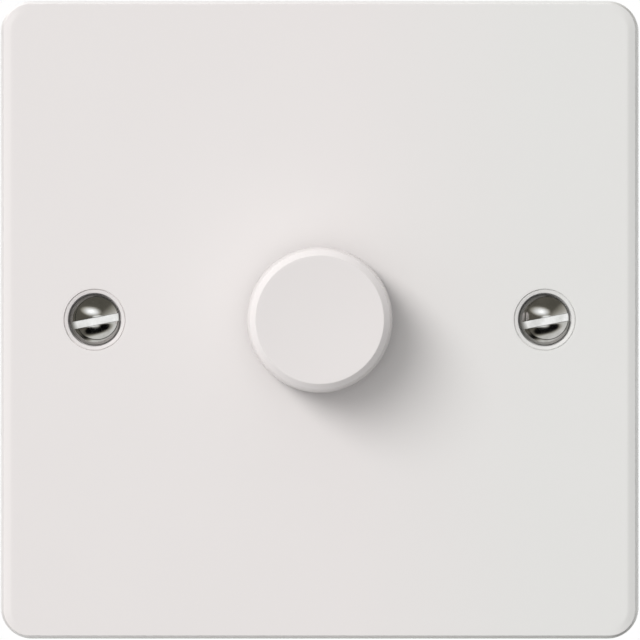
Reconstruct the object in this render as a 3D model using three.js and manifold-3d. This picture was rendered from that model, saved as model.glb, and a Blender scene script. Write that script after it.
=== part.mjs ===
// One-gang rotary dimmer switch for a flush wall box: turn the knob to dim, push it to switch on and off.
// Everything is modelled in millimetres in the fitter's view of it: x to the right, y up and z out of the
// wall, towards the user, with z = 0 on the wall. The exported group turns that upright, so that +Z is up
// and the plate faces -Y.
import * as THREE from "three";
import { mergeVertices } from "three/addons/utils/BufferGeometryUtils.js";
import Module from "manifold-3d";

const wasm = await Module();
wasm.setup();

// ---- driving dimensions ----
const fixingCentres = 60.3; // between the two wall-box lugs
const plate = { side: 86, corner: 4.2, depth: 6.5, wall: 2, edge: 0.8, draft: 0.66 };
const plateBoss = { radius: 6, rear: 2.6 }; // one round each fixing screw
const plateRib = { x: 19, halfWidth: 0.6, halfLength: 25.5, rear: 2.7 };
const knobOpening = { radius: 5.4, collar: 9.8, nutRoom: 8.4 }; // round the bush and its nut
const knobSize = { radius: 9.75, shoulder: 9.27, faceRadius: 8.5, rear: 8.4, face: 19, chamfer: 0.82 };
const knobWall = { skirt: 1.4, top: 1.8, boss: 4.6, rib: 1, ribDepth: 4.2, slit: 0.8, slitFront: 13 };
const pushTravel = 1.5; // the knob, shaft and plunger move in by this much
const turnEachWay = 135; // degrees from the middle to each end stop
const shaftSize = { radius: 3, flat: 1.5, front: 17.2, rear: -9.7, chamfer: 0.4 };
const shaftGroove = { rear: -3.15, front: -2.45, depth: 0.55 };
const bushSize = { radius: 5, bore: 3.1, front: 5.3, chamfer: 0.4 };
const flange = { side: 16.4, corner: 1, front: -0.9, rear: -2.3, lugX: 8.7, lugY: 4, lugRear: -4.6 };
const yoke = { width: 74, height: 52, corner: 4, front: 2.4, thickness: 1.2 };
const moduleCase = { width: 50, height: 46, corner: 3, front: 1, rear: -20, wall: 1.5, frontWall: 1.8 };
const caseNib = { y: 14, radius: 1.4 }; // peg that stops the module turning in the yoke
const cover = { front: -20.2, thickness: 1.8, access: 3.4 };
const vent = { pitch: 6, y: 8, width: 1.6, length: 12 };
const board = { front: -16, thickness: 1.6, halfWidth: 23.2, bottom: -11, top: 21, notch: 5.3 };
const screwHead = { radius: 3.38, rimTop: 6.15, rim: 0.38, ringFall: 0.3, domeRadius: 2.8, dome: 0.95 };
const screwSlot = { width: 1, floor: 5.7, turn: 11 }; // its turn from level is in degrees
const machineScrew = { radius: 1.7, length: 25, point: 0.5 }; // 3.5 mm fixing screw, 25 mm long
const screwWell = { lip: 4.1, lipDepth: 0.14, mouth: 3.56, seat: 5.85, bore: 2.05, neck: 3.45, recess: 4.4 };
const retainer = { radius: 4.2, rear: 2.75, front: 3.3 };
const terminal = { pitch: 11, y: -15.2, width: 8, height: 6.8, depth: 7.2, front: -7.4 };
const wireHole = { radius: 1.9, fromFront: 2.6 };
const clampScrew = { radius: 1.45, length: 6.7, headRadius: 2.5, head: 1.7, slot: 0.8, engaged: 0.9 };
const earth = { x: 31, y: -19, half: 3.5, depth: 8, rivet: 1.5, rivetHead: 2.3 };
const coverScrew = { x: 21, y: 19, radius: 1.05, length: 9, headRadius: 2.4, head: 0.9 };
const coverScrewPlaces = [
  [-coverScrew.x, coverScrew.y],
  [coverScrew.x, coverScrew.y],
  [-coverScrew.x, -coverScrew.y],
  [coverScrew.x, -coverScrew.y],
];
const gap = 0.1; // between faces that touch on the real switch
const leadRadius = 0.35;
const leadEnd = board.front - board.thickness - 0.8; // leads stand this far through the board
const potPins = [-2.54, 0, 2.54].map((x) => [x, 8.95]);

// ---- shared helpers ----
// A geometry as a solid, with its faces turned outwards.
function solid(geometry) {
  const bare = geometry.clone();
  bare.deleteAttribute("normal");
  bare.deleteAttribute("uv");
  const merged = mergeVertices(bare, 1e-4);
  const triVerts = new Uint32Array(merged.index.array);
  const vertProperties = merged.attributes.position.array;
  const build = () => new wasm.Manifold(new wasm.Mesh({ numProp: 3, vertProperties, triVerts }));
  const made = build();
  if (made.volume() > 0) return made;
  for (let i = 0; i < triVerts.length; i += 3) {
    [triVerts[i + 1], triVerts[i + 2]] = [triVerts[i + 2], triVerts[i + 1]];
  }
  return build();
}

function geometryOf(made) {
  const mesh = made.getMesh();
  const geometry = new THREE.BufferGeometry();
  geometry.setAttribute("position", new THREE.BufferAttribute(mesh.vertProperties, 3));
  geometry.setIndex(new THREE.BufferAttribute(mesh.triVerts, 1));
  geometry.computeVertexNormals();
  return geometry;
}

const joined = (first, ...rest) => rest.reduce((whole, piece) => whole.add(piece), first);
const cut = (first, ...rest) => rest.reduce((whole, piece) => whole.subtract(piece), first);

// A block between two corners.
function block(x0, x1, y0, y1, z0, z1) {
  const box = new THREE.BoxGeometry(x1 - x0, y1 - y0, z1 - z0);
  return solid(box.translate((x0 + x1) / 2, (y0 + y1) / 2, (z0 + z1) / 2));
}

// A round bar along z, from z0 to z1.
function bar(radius, z0, z1, x = 0, y = 0, sides = 24) {
  const cylinder = new THREE.CylinderGeometry(radius, radius, z1 - z0, sides);
  return solid(cylinder.rotateX(Math.PI / 2).translate(x, y, (z0 + z1) / 2));
}

// A profile of [radius, z] points turned about the z axis.
function turned(profile, sides = 24) {
  const points = profile.map(([radius, z]) => new THREE.Vector2(radius, z));
  return solid(new THREE.LatheGeometry(points, sides).rotateX(Math.PI / 2));
}

function roundedRectangle(width, height, radius) {
  const [x, y] = [width / 2 - radius, height / 2 - radius];
  const quarter = Math.PI / 2;
  const shape = new THREE.Shape();
  shape.absarc(x, y, radius, 0, quarter);
  shape.absarc(-x, y, radius, quarter, 2 * quarter);
  shape.absarc(-x, -y, radius, 2 * quarter, 3 * quarter);
  shape.absarc(x, -y, radius, 3 * quarter, 4 * quarter);
  return shape;
}

// A shape pulled along z, from z0 to z1.
function pulled(shape, z0, z1, curveSegments = 6) {
  const options = { depth: z1 - z0, bevelEnabled: false, curveSegments };
  return solid(new THREE.ExtrudeGeometry(shape, options).translate(0, 0, z0));
}

// A plate with rounded corners.
function slab(width, height, radius, z0, z1, curveSegments = 3) {
  return pulled(roundedRectangle(width, height, radius), z0, z1, curveSegments);
}

// Part of a flat ring, between two radii and two angles in degrees.
function ringSector(inner, outer, from, to, z0, z1, segments = 12) {
  const [a, b] = [THREE.MathUtils.degToRad(from), THREE.MathUtils.degToRad(to)];
  const shape = new THREE.Shape();
  shape.absarc(0, 0, outer, a, b, false);
  shape.absarc(0, 0, inner, b, a, true);
  return pulled(shape, z0, z1, segments);
}

function ring(inner, outer, z0, z1, sides = 24) {
  return cut(bar(outer, z0, z1, 0, 0, sides), bar(inner, z0 - 1, z1 + 1, 0, 0, sides));
}

// A bar with one flat, as the control shaft and the bores that it drives have.
function dBar(radius, flat, z0, z1) {
  return cut(bar(radius, z0, z1), block(-2 * radius, 2 * radius, flat, 2 * radius, z0 - 1, z1 + 1));
}

// ---- finishes ----
function finish(color, roughness, metalness = 0) {
  return new THREE.MeshStandardMaterial({ color, roughness, metalness });
}
const whiteMoulding = finish(0xe7e3e2, 0.35);
const knobMoulding = finish(0xe2dfde, 0.4);
const blackNylon = finish(0x26272a, 0.6);
const whiteNylon = finish(0xe9e6da, 0.5);
const bluePlastic = finish(0x2d4f86, 0.5);
const platedSteel = finish(0xc8cbcb, 0.25, 1);
const galvanisedSteel = finish(0xb4b8ba, 0.45, 1);
const zincCasting = finish(0xa9adb0, 0.4, 1);
const springSteel = finish(0x9a9ea2, 0.3, 1);
const brass = finish(0xc7a252, 0.3, 1);
const bronze = finish(0xb9824f, 0.35, 1);
const aluminium = finish(0xc3c6c8, 0.4, 1);
const laminate = finish(0x2f6b3c, 0.5);
const phenolic = finish(0x6b4526, 0.6);
const ferrite = finish(0xd8c64a, 0.55);
const copperWire = finish(0xa8562a, 0.3, 1);
const epoxy = finish(0x1c1c1e, 0.5);
const capacitorCase = finish(0x8b8f94, 0.45);
const resistorBody = finish(0xc9a97c, 0.5);
const fuseGlass = finish(0xe4ece9, 0.15);

// ---- the face: plate, its screws and the knob ----

// The well that a fixing screw sits in: a shallow lip, the head's cone and the retainer's recess.
function wellRoom() {
  const { lip, lipDepth, mouth, seat, bore, neck, recess } = screwWell;
  return turned([
    [0, plateBoss.rear - 0.6],
    [recess, plateBoss.rear - 0.6],
    [recess, neck],
    [bore, neck],
    [bore, seat - (mouth - bore)],
    [mouth, seat],
    [mouth, plate.depth - lipDepth],
    [lip, plate.depth - lipDepth],
    [lip, plate.depth + 1],
    [0, plate.depth + 1],
  ]);
}

// Moulded plate with rounded front edges and drafted sides, hollow behind, with a boss for each screw.
function frontPlate() {
  const outline = roundedRectangle(plate.side, plate.side, plate.corner);
  const outer = new THREE.ExtrudeGeometry(outline, {
    depth: plate.depth,
    bevelThickness: plate.edge,
    bevelSize: plate.edge,
    bevelOffset: -plate.edge,
    bevelSegments: 3,
    curveSegments: 5,
  }).translate(0, 0, -plate.edge);
  const position = outer.attributes.position;
  for (let i = 0; i < position.count; i++) {
    const narrowing = 1 - (position.getZ(i) / plate.depth) * ((2 * plate.draft) / plate.side);
    position.setX(i, position.getX(i) * narrowing);
    position.setY(i, position.getY(i) * narrowing);
  }
  const inner = plate.side - 2 * plate.wall;
  const ceiling = plate.depth - plate.wall;
  const joint = ceiling + 0.5; // ribs and bosses run this far into the plate's wall
  const { halfWidth, halfLength, rear } = plateRib;
  const hollow = slab(inner, inner, plate.corner - plate.wall, -1, ceiling);
  const behind = block(-plate.side, plate.side, -plate.side, plate.side, -2 * plate.depth, 0);
  const ribs = [-plateRib.x, plateRib.x].map((x) =>
    block(x - halfWidth, x + halfWidth, -halfLength, halfLength, rear, joint),
  );
  const screwPlaces = [-fixingCentres / 2, fixingCentres / 2];
  const bosses = screwPlaces.map((x) => bar(plateBoss.radius, plateBoss.rear, joint, x));
  const wells = screwPlaces.map((x) => wellRoom().translate([x, 0, 0]));
  const shell = cut(solid(outer), behind, hollow);
  const filled = joined(shell, bar(knobOpening.collar, rear, joint), ...ribs, ...bosses);
  const nutRecess = bar(knobOpening.nutRoom, rear - 0.7, bushSize.front);
  return cut(filled, nutRecess, bar(knobOpening.radius, 0, plate.depth + 1), ...wells);
}

// Slotted screw with a raised countersunk head, its slot a few degrees off level.
function fixingScrew() {
  const { radius, rimTop, rim, ringFall, domeRadius, dome } = screwHead;
  const { radius: shank, length, point } = machineScrew;
  const tip = rimTop - length;
  const ballRadius = (domeRadius ** 2 + dome ** 2) / (2 * dome);
  const domePoints = [0, 1, 2, 3].map((step) => {
    const r = domeRadius * (1 - step / 3);
    return [r, rimTop + dome - ballRadius + Math.sqrt(ballRadius ** 2 - r ** 2)];
  });
  const body = turned([
    [0, tip],
    [shank - point, tip],
    [shank, tip + point],
    [shank, rimTop - rim - (radius - shank)],
    [radius, rimTop - rim],
    [radius, rimTop - ringFall],
    [domeRadius + 0.05, rimTop - 0.06],
    ...domePoints,
  ]);
  const slotBox = new THREE.BoxGeometry(4 * radius, screwSlot.width, 2);
  slotBox.translate(0, 0, screwSlot.floor + 1);
  return cut(body, solid(slotBox.rotateZ(THREE.MathUtils.degToRad(screwSlot.turn))));
}

const screwRetainer = () => ring(machineScrew.radius + gap, retainer.radius, retainer.rear, retainer.front);

// Cup-shaped knob: a chamfered cap over a split boss, which grips the flat of the shaft.
function knob() {
  const { radius, shoulder, faceRadius, rear, face, chamfer } = knobSize;
  const { skirt, top, boss, rib, ribDepth, slit, slitFront } = knobWall;
  const ceiling = face - top;
  const outside = turned(
    [
      [0, rear],
      [radius - 0.2, rear],
      [radius, rear + 0.2],
      [shoulder, face - chamfer],
      [faceRadius, face],
      [0, face],
    ],
    48,
  );
  const hollow = bar(radius - skirt, rear - 1, ceiling, 0, 0, 48);
  const ribs = [0, 60, 120].map((angle) => {
    const web = new THREE.BoxGeometry(2 * radius - skirt, rib, ribDepth + 0.5);
    web.translate(0, 0, ceiling - (ribDepth - 0.5) / 2);
    return solid(web.rotateZ(THREE.MathUtils.degToRad(angle)));
  });
  const bore = dBar(shaftSize.radius + gap, shaftSize.flat + gap, rear, shaftSize.front + gap);
  const split = block(-boss - 1, boss + 1, -slit / 2, slit / 2, rear, slitFront);
  return cut(joined(cut(outside, hollow), bar(boss, rear + 1, ceiling + 0.5), ...ribs), bore, split);
}

const knobClip = () => ringSector(4.75, 5.1, -60, 240, 10.4, 12.2, 14);

// ---- the yoke and what clamps the module to it ----

function mountingYoke() {
  const shape = roundedRectangle(yoke.width, yoke.height, yoke.corner);
  const hole = (x, y, radius) => new THREE.Path().absarc(x, y, radius, 0, 2 * Math.PI, true);
  const slotFor = (x) => {
    const [half, end] = [1, 2.2]; // distance of each end's centre from the middle, and its radius
    const path = new THREE.Path();
    path.absarc(x - half, 0, end, 1.5 * Math.PI, 0.5 * Math.PI, true);
    path.absarc(x + half, 0, end, 0.5 * Math.PI, -0.5 * Math.PI, true);
    return path;
  };
  shape.holes.push(hole(0, 0, bushSize.radius + 0.25), hole(0, caseNib.y, caseNib.radius + 0.2));
  shape.holes.push(hole(earth.x, earth.y, earth.rivet + 0.15));
  shape.holes.push(slotFor(-fixingCentres / 2), slotFor(fixingCentres / 2));
  return pulled(shape, yoke.front - yoke.thickness, yoke.front, 6);
}

// Shakeproof washer with teeth round its bore.
function lockWasher() {
  const [teeth, toothRoot, outer, thickness] = [12, 6, 7.4, 0.55];
  const bore = new THREE.Path();
  for (let i = 0; i <= 2 * teeth; i++) {
    const radius = i % 2 ? toothRoot : bushSize.radius + 0.15;
    const angle = (-i * Math.PI) / teeth;
    bore[i ? "lineTo" : "moveTo"](radius * Math.cos(angle), radius * Math.sin(angle));
  }
  const shape = new THREE.Shape().absarc(0, 0, outer, 0, 2 * Math.PI);
  shape.holes.push(bore);
  return pulled(shape, yoke.front + gap, yoke.front + gap + thickness, 12);
}

function bushNut() {
  const acrossFlats = 13;
  const [z0, z1] = [yoke.front + 0.8, yoke.front + 2.6];
  const corner = acrossFlats / Math.sqrt(3);
  const hexagon = bar(corner, z0, z1, 0, 0, 6);
  const chamfered = turned([
    [0, z0],
    [acrossFlats / 2, z0],
    [corner, z0 + 0.4],
    [corner, z1 - 0.4],
    [acrossFlats / 2, z1],
    [0, z1],
  ]);
  return cut(hexagon.intersect(chamfered), bar(bushSize.radius + 0.15, z0 - 1, z1 + 1));
}

// ---- the potentiometer ----

// Threaded bush on a square flange, whose side lugs hold the track housing.
function potBush() {
  const { radius, bore, front, chamfer } = bushSize;
  const tube = turned([
    [0, flange.rear],
    [radius, flange.rear],
    [radius, front - chamfer],
    [radius - chamfer, front],
    [0, front],
  ]);
  const [halfLug, halfThickness] = [1.2, 0.3];
  const rows = [-flange.lugY, flange.lugY];
  const lugs = rows.flatMap((y) =>
    [-flange.lugX, flange.lugX].map((x) =>
      block(x - halfThickness, x + halfThickness, y - halfLug, y + halfLug, flange.lugRear, flange.front),
    ),
  );
  const reach = flange.lugX + halfThickness;
  const arms = rows.map((y) => block(-reach, reach, y - halfLug, y + halfLug, flange.rear, flange.front));
  const square = slab(flange.side, flange.side, flange.corner, flange.rear, flange.front);
  return cut(joined(tube, square, ...arms, ...lugs), bar(bore, flange.rear - 1, front + 1));
}

// Round shaft with a flat for the knob, a groove for its clip, and a flat for the wiper's rotor.
function controlShaft() {
  const { radius, flat, front, rear, chamfer } = shaftSize;
  const root = radius - shaftGroove.depth;
  const profile = [
    [0, rear],
    [radius - chamfer, rear],
    [radius, rear + chamfer],
    [radius, shaftGroove.rear],
    [root, shaftGroove.rear],
    [root, shaftGroove.front],
    [radius, shaftGroove.front],
    [radius, front - chamfer],
    [radius - chamfer, front],
    [0, front],
  ];
  const knobFlat = block(-4, 4, flat, 4, plate.depth + gap, front + 1);
  const rotorFlat = block(-4, 4, flat, 4, rear - 1, shaftGroove.rear + 0.2);
  return cut(turned(profile), knobFlat, rotorFlat);
}

function shaftCirclip() {
  const { rear, front } = shaftGroove;
  return ringSector(2.55, 4.3, -50, 230, rear + gap, front - gap, 14);
}

const pot = { side: 16.5, front: -2.4, rear: -9.4, cavity: 7.3, face: 0.9, stopHalf: 25, lugHalf: 18 };

// Square housing with a round cavity, a stop for the rotor's lug and a slot for the track's tongue.
function potHousing() {
  const body = slab(pot.side, pot.side, 1, pot.rear, pot.front);
  const ceiling = pot.front - pot.face;
  const cavity = bar(pot.cavity, pot.rear - 1, ceiling);
  const [from, to] = [-90 - pot.stopHalf, -90 + pot.stopHalf];
  const stop = ringSector(5, pot.cavity + 0.3, from, to, -5.6, ceiling + 0.4);
  const tongueSlot = block(-4.1, 4.1, 6, 9, pot.rear - 1, -7.9);
  const [notchX, notchY, notchRear] = [0.9, 1.4, flange.lugRear - 0.2];
  const lugNotches = [-9, 9].flatMap((x) =>
    [-flange.lugY, flange.lugY].map((y) =>
      block(x - notchX, x + notchX, y - notchY, y + notchY, notchRear, 0),
    ),
  );
  return cut(joined(cut(body, cavity), stop), bar(4.6, ceiling - 1, 0), tongueSlot, ...lugNotches);
}

function wiperRotor() {
  const hub = bar(4.4, -7.1, -4.9);
  const disc = bar(6.8, -7.1, -6.2);
  const lug = ringSector(5.1, 6.6, 90 - pot.lugHalf, 90 + pot.lugHalf, -6.5, -4);
  return cut(joined(hub, disc, lug), dBar(shaftSize.radius + gap, shaftSize.flat + gap, -8, -3));
}

// Sprung contact on the back of the rotor, with one finger on the track and one on the collector ring.
function wiperContact() {
  const collar = ring(3.9, 4.9, -7.45, -7.2, 24);
  const arm = ringSector(4.8, 6.4, 70, 110, -7.45, -7.2, 6);
  const fingers = [4.4, 5.9].map((y) => bar(0.35, -7.95, -7.3, 0, y, 8));
  return joined(collar, arm, ...fingers);
}

// Laminate wafer with its printed track, and three pins from its tongue to the board.
function resistanceTrack() {
  const wafer = joined(bar(7, -8.9, -8.1), block(-3.8, 3.8, 6, 9.5, -8.9, -8.1));
  const pins = potPins.map(([x, y]) => bar(leadRadius, leadEnd, -8.5, x, y, 8));
  return joined(cut(wafer, bar(3.6, -10, -7)), ...pins);
}

// ---- the push switch behind the potentiometer ----
const switchBox = { front: -9.5, rear: -15.8, wall: 1.4, back: 0.9 };
const rockerPlace = { x: -4.9, z: -12.2, tilt: 6 };
const contactStrips = [
  { y: 2.1, button: -10.6 },
  { y: -2.1, button: -13.8 },
];

function switchHousing() {
  const inner = pot.side - 2 * switchBox.wall;
  const body = slab(pot.side, pot.side, 1, switchBox.rear, switchBox.front);
  const cavity = slab(inner, inner, 0.8, switchBox.rear + switchBox.back, switchBox.front + 1);
  const stripSlots = contactStrips.map(({ y }) => block(-6.85, -6.3, y - 1.6, y + 1.6, -17, -13));
  const tongueRoom = block(-4.1, 4.1, 8, 9, switchBox.front - 0.5, 0);
  return cut(body, cavity, tongueRoom, ...stripSlots);
}

function switchPlunger() {
  const front = shaftSize.rear - 0.15;
  return turned(
    [
      [0, front - 3.35],
      [1.5, front - 3.35],
      [1.5, front - 1.55],
      [3.4, front - 1.55],
      [3.4, front - 0.2],
      [3.2, front],
      [0, front],
    ],
    24,
  );
}

// A helix about z.
class Helix extends THREE.Curve {
  constructor(radius, z0, z1, turns) {
    super();
    Object.assign(this, { radius, z0, z1, turns });
  }
  getPoint(t) {
    const angle = 2 * Math.PI * this.turns * t;
    const { radius, z0, z1 } = this;
    return new THREE.Vector3(radius * Math.cos(angle), radius * Math.sin(angle), z0 + (z1 - z0) * t);
  }
}

function returnSpring() {
  const wire = 0.17;
  const section = new THREE.Shape().absarc(0, 0, wire, 0, 2 * Math.PI);
  const helix = new Helix(2.45, -14.65, -11.65, 3);
  return solid(new THREE.ExtrudeGeometry(section, { steps: 36, curveSegments: 3, extrudePath: helix }));
}

// Two-way contact that rocks on its pin, tilted at rest on to the front strip. Its own origin is the pin.
function contactRocker() {
  const along = (radius, y0, y1, x, z, sides) => {
    const cylinder = new THREE.CylinderGeometry(radius, radius, y1 - y0, sides);
    return solid(cylinder.translate(x, (y0 + y1) / 2, z));
  };
  const leaf = block(-0.2, 0.15, -3.6, 3.6, -2, 2);
  const hub = along(0.9, -3.6, 3.6, 0, 0, 16);
  const buttons = contactStrips.map(({ y, button }) => {
    const disc = new THREE.CylinderGeometry(0.75, 0.75, 0.75, 12).rotateZ(Math.PI / 2);
    return solid(disc.translate(-0.475, y, button - rockerPlace.z));
  });
  return cut(joined(leaf, hub, ...buttons), along(0.55, -5, 5, 0, 0, 16));
}

const rockerPin = () => solid(new THREE.CylinderGeometry(0.5, 0.5, 13, 16));

// Flat strip on the housing's wall, with a contact button, running back through the board.
function fixedContact({ y, button }) {
  const strip = block(-6.8, -6.4, y - 1.5, y + 1.5, switchBox.rear + switchBox.back + 0.2, button + 0.9);
  const tail = block(-6.8, -6.4, y - 0.6, y + 0.6, leadEnd, switchBox.rear + 1.2);
  const disc = new THREE.CylinderGeometry(0.75, 0.75, 0.4, 12).rotateZ(Math.PI / 2);
  return joined(strip, tail, solid(disc.translate(-6.3, y, button)));
}

// ---- the circuit board and what stands on it ----
const choke = { x: -15.5, y: 1.8, z: -8.4, inner: 3.2, outer: 6.2, half: 3, wire: 0.9 };
const chokeLegs = [-3.4, 3.4].map((y) => [choke.x, choke.y + y]);
const film = { x: 19.4, y: 0, width: 6, length: 13, height: 11, legs: 5 };
const timing = { x: 0, y: 11.9, width: 7.2, length: 2.5, height: 6.5, legs: 2.5 };
const fuse = { x: 12.2, y: 2.5, z: -12.4, radius: 2.5, length: 20, clips: 7.5 };
const axialParts = {
  resistor_1: { x: 18.8, y: 10.4, radius: 1.15, length: 5.6, legs: 3.6 },
  resistor_2: { x: -17, y: 12.2, radius: 1.15, length: 5.6, legs: 3.8 },
  diac: { x: -17, y: -8.6, radius: 0.95, length: 4, legs: 3 },
};
const triac = { left: -4.5, right: 4.5, tab: 10.8, y0: 14.8, y1: 19.1, z0: -12.5, z1: -2.5, screwX: 8 };
const triacLeadY = 16.4;
const triacLeads = [
  { bend: -9.5, z: -5 },
  { bend: -8, z: -7.5 },
  { bend: -6.5, z: -10 },
];
const heatSink = { half: 17.5, y0: 19.2, y1: 20.8, z0: -15, z1: -2.2, leg: 15 };
const tagY = -9.4;
const terminalX = [-1, 0, 1].map((step) => step * terminal.pitch);

function circuitBoard() {
  const { halfWidth, bottom, top, notch, front, thickness } = board;
  const shape = new THREE.Shape([
    new THREE.Vector2(-halfWidth, bottom),
    new THREE.Vector2(halfWidth, bottom),
    new THREE.Vector2(halfWidth, top - notch),
    new THREE.Vector2(halfWidth - notch, top - notch),
    new THREE.Vector2(halfWidth - notch, top),
    new THREE.Vector2(notch - halfWidth, top),
    new THREE.Vector2(notch - halfWidth, top - notch),
    new THREE.Vector2(-halfWidth, top - notch),
  ]);
  const round = ([x, y, radius = leadRadius + 0.2]) => bar(radius, front - 3, front + 1, x, y, 6);
  const slot = ([x, y, width, height]) =>
    block(x - width / 2, x + width / 2, y - height / 2, y + height / 2, front - 3, front + 1);
  const holes = [
    ...potPins,
    ...chokeLegs.map(([x, y]) => [x, y, 0.6]),
    [film.x, film.y - film.legs],
    [film.x, film.y + film.legs],
    [timing.x - timing.legs, timing.y],
    [timing.x + timing.legs, timing.y],
    ...Object.values(axialParts).flatMap(({ x, y, legs }) => [
      [x - legs, y],
      [x + legs, y],
    ]),
  ];
  const slots = [
    ...terminalX.map((x) => [x, tagY, 3.4, 1.2]),
    ...triacLeads.map(({ bend }) => [bend, triacLeadY, 1, 1.2]),
    ...contactStrips.map(({ y }) => [-6.6, y, 0.8, 1.6]),
    ...[-1, 1].map((side) => [fuse.x, fuse.y + side * fuse.clips, 2.4, 0.8]),
    ...[-1, 1].map((side) => [side * heatSink.leg, (heatSink.y0 + heatSink.y1) / 2, 3.4, 2]),
  ];
  return cut(pulled(shape, front - thickness, front), ...holes.map(round), ...slots.map(slot));
}

// The choke's ring, turned about its own z axis.
function chokeCore() {
  const { inner, outer, half } = choke;
  return turned(
    [
      [inner, 0.4 - half],
      [inner + 0.4, -half],
      [outer - 0.4, -half],
      [outer, 0.4 - half],
      [outer, half - 0.4],
      [outer - 0.4, half],
      [inner + 0.4, half],
      [inner, half - 0.4],
      [inner, 0.4 - half],
    ],
    20,
  );
}

// The winding as one sleeve round the ring, open towards the board where its two ends come off.
function chokeWinding() {
  const { inner, outer, half, wire } = choke;
  const sleeve = ring(inner - wire, outer + wire, -half - wire, half + wire, 20);
  const room = ring(inner - gap, outer + gap, -half - gap, half + gap, 20);
  const opening = block(outer - 4, outer + 3, -3, 3, -half - 2, half + 2);
  const legLength = choke.z - leadEnd;
  const legs = [-3.4, 3.4].map((y) => {
    const leg = new THREE.CylinderGeometry(0.45, 0.45, legLength - outer + 0.7, 8).rotateZ(Math.PI / 2);
    return solid(leg.translate((legLength + outer - 0.7) / 2, y, 0));
  });
  return cut(joined(cut(sleeve, opening), ...legs), room);
}

// A boxed capacitor standing on the board, with a leg near each end of its longer side.
function boxedCapacitor({ width, length, height, legs }) {
  const base = board.front + gap;
  const body = slab(width, length, 0.5, base, base + height);
  const places = [-legs, legs].map((distance) => (width > length ? [distance, 0] : [0, distance]));
  return joined(body, ...places.map(([x, y]) => bar(leadRadius, leadEnd, base + 0.5, x, y, 8)));
}

// A body lying along x on its own two bent leads.
function axialPart({ radius, length, legs }) {
  const height = board.front + radius + 0.2;
  const profile = [
    [0, -length / 2],
    [radius * 0.8, -length / 2],
    [radius, -length / 2 + 0.5],
    [radius, length / 2 - 0.5],
    [radius * 0.8, length / 2],
    [0, length / 2],
  ];
  const points = profile.map(([r, x]) => new THREE.Vector2(r, x));
  const body = solid(new THREE.LatheGeometry(points, 12).rotateZ(Math.PI / 2).translate(0, 0, height));
  const lead = new THREE.CylinderGeometry(leadRadius, leadRadius, 2 * legs, 8).rotateZ(Math.PI / 2);
  const pins = [-legs, legs].map((x) => bar(leadRadius, leadEnd, height + leadRadius, x, 0, 8));
  return joined(body, solid(lead.translate(0, 0, height)), ...pins);
}

function triacBody() {
  const { left, right, tab, y0, y1, z0, z1, screwX } = triac;
  const moulding = block(left, right, y0, y1 - 0.6, z0, z1);
  const tabPlate = block(left + 2, tab, y1 - 1.3, y1, z0, z1);
  const tabHole = new THREE.CylinderGeometry(1.8, 1.8, 6, 20).translate(screwX, y1, (z0 + z1) / 2);
  const [leadNear, leadFar] = [triacLeadY - 0.25, triacLeadY + 0.25];
  const leads = triacLeads.map(({ bend, z }) => {
    const run = block(bend - 0.3, left + 1, leadNear, leadFar, z - 0.4, z + 0.4);
    return joined(run, block(bend - 0.3, bend + 0.3, leadNear, leadFar, leadEnd, z));
  });
  return cut(joined(moulding, tabPlate, ...leads), solid(tabHole));
}

// Pan-head screw from the tab into the heat sink, along y.
function triacScrew() {
  const head = new THREE.CylinderGeometry(2.6, 2.3, 1.6, 20).translate(0, triac.y1 - 1.3 - gap - 0.8, 0);
  const shank = new THREE.CylinderGeometry(1.4, 1.4, 5, 16).translate(0, heatSink.y1 + 0.4 - 2.5, 0);
  return joined(solid(head), solid(shank));
}

function heatSinkPlate() {
  const { half, y0, y1, z0, z1, leg } = heatSink;
  const legs = [-leg, leg].map((x) => block(x - 1.5, x + 1.5, y0, y1, leadEnd + 0.5, z0 + 1));
  const tapped = new THREE.CylinderGeometry(1.55, 1.55, 6, 16);
  tapped.translate(triac.screwX, y0, (triac.z0 + triac.z1) / 2);
  return cut(joined(block(-half, half, y0, y1, z0, z1), ...legs), solid(tapped));
}

// Cartridge fuse along y: a glass tube between two caps.
function cartridgeFuse() {
  const { radius, length } = fuse;
  const cap = 4.6;
  const half = length / 2;
  const profile = [
    [0, -half],
    [radius, -half],
    [radius, cap - half],
    [radius - 0.25, cap - half],
    [radius - 0.25, half - cap],
    [radius, half - cap],
    [radius, half],
    [0, half],
  ];
  return solid(new THREE.LatheGeometry(profile.map(([r, y]) => new THREE.Vector2(r, y)), 20));
}

// Spring clip that holds one end of the fuse from below. Its own origin is on the fuse's axis.
function fuseClip() {
  const [inner, outer] = [fuse.radius + gap, fuse.radius + 0.5];
  const cheeks = ringSector(inner, outer, 150, 390, -1.6, 1.6, 12);
  const upright = new THREE.Matrix4().makeRotationX(Math.PI / 2);
  const base = board.front - fuse.z + gap;
  const foot = block(-1.6, 1.6, -1.6, 1.6, base, -outer + 0.3);
  const tail = block(-1, 1, -0.25, 0.25, leadEnd - fuse.z, base + 0.3);
  return joined(cheeks.transform(upright.elements), foot, tail);
}

// ---- terminals ----

// Brass block with a cross hole for the wire, a tapped hole from behind and a tag into the board.
// Its own origin is the middle of its front face.
function terminalBlock() {
  const { width, height, depth, front } = terminal;
  const body = block(-width / 2, width / 2, -height / 2, height / 2, -depth, 0);
  const cross = new THREE.CylinderGeometry(wireHole.radius, wireHole.radius, height, 24);
  const tapped = bar(clampScrew.radius + gap, -depth - 1, -wireHole.fromFront);
  const reach = tagY - terminal.y;
  const run = block(-1.5, 1.5, height / 2 - 0.5, reach + 0.4, 0.2 - depth, 1 - depth);
  const tag = block(-1.5, 1.5, reach - 0.4, reach + 0.4, leadEnd - front, 1 - depth);
  return joined(cut(body, solid(cross.translate(0, -0.8, -wireHole.fromFront)), tapped), run, tag);
}

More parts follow.
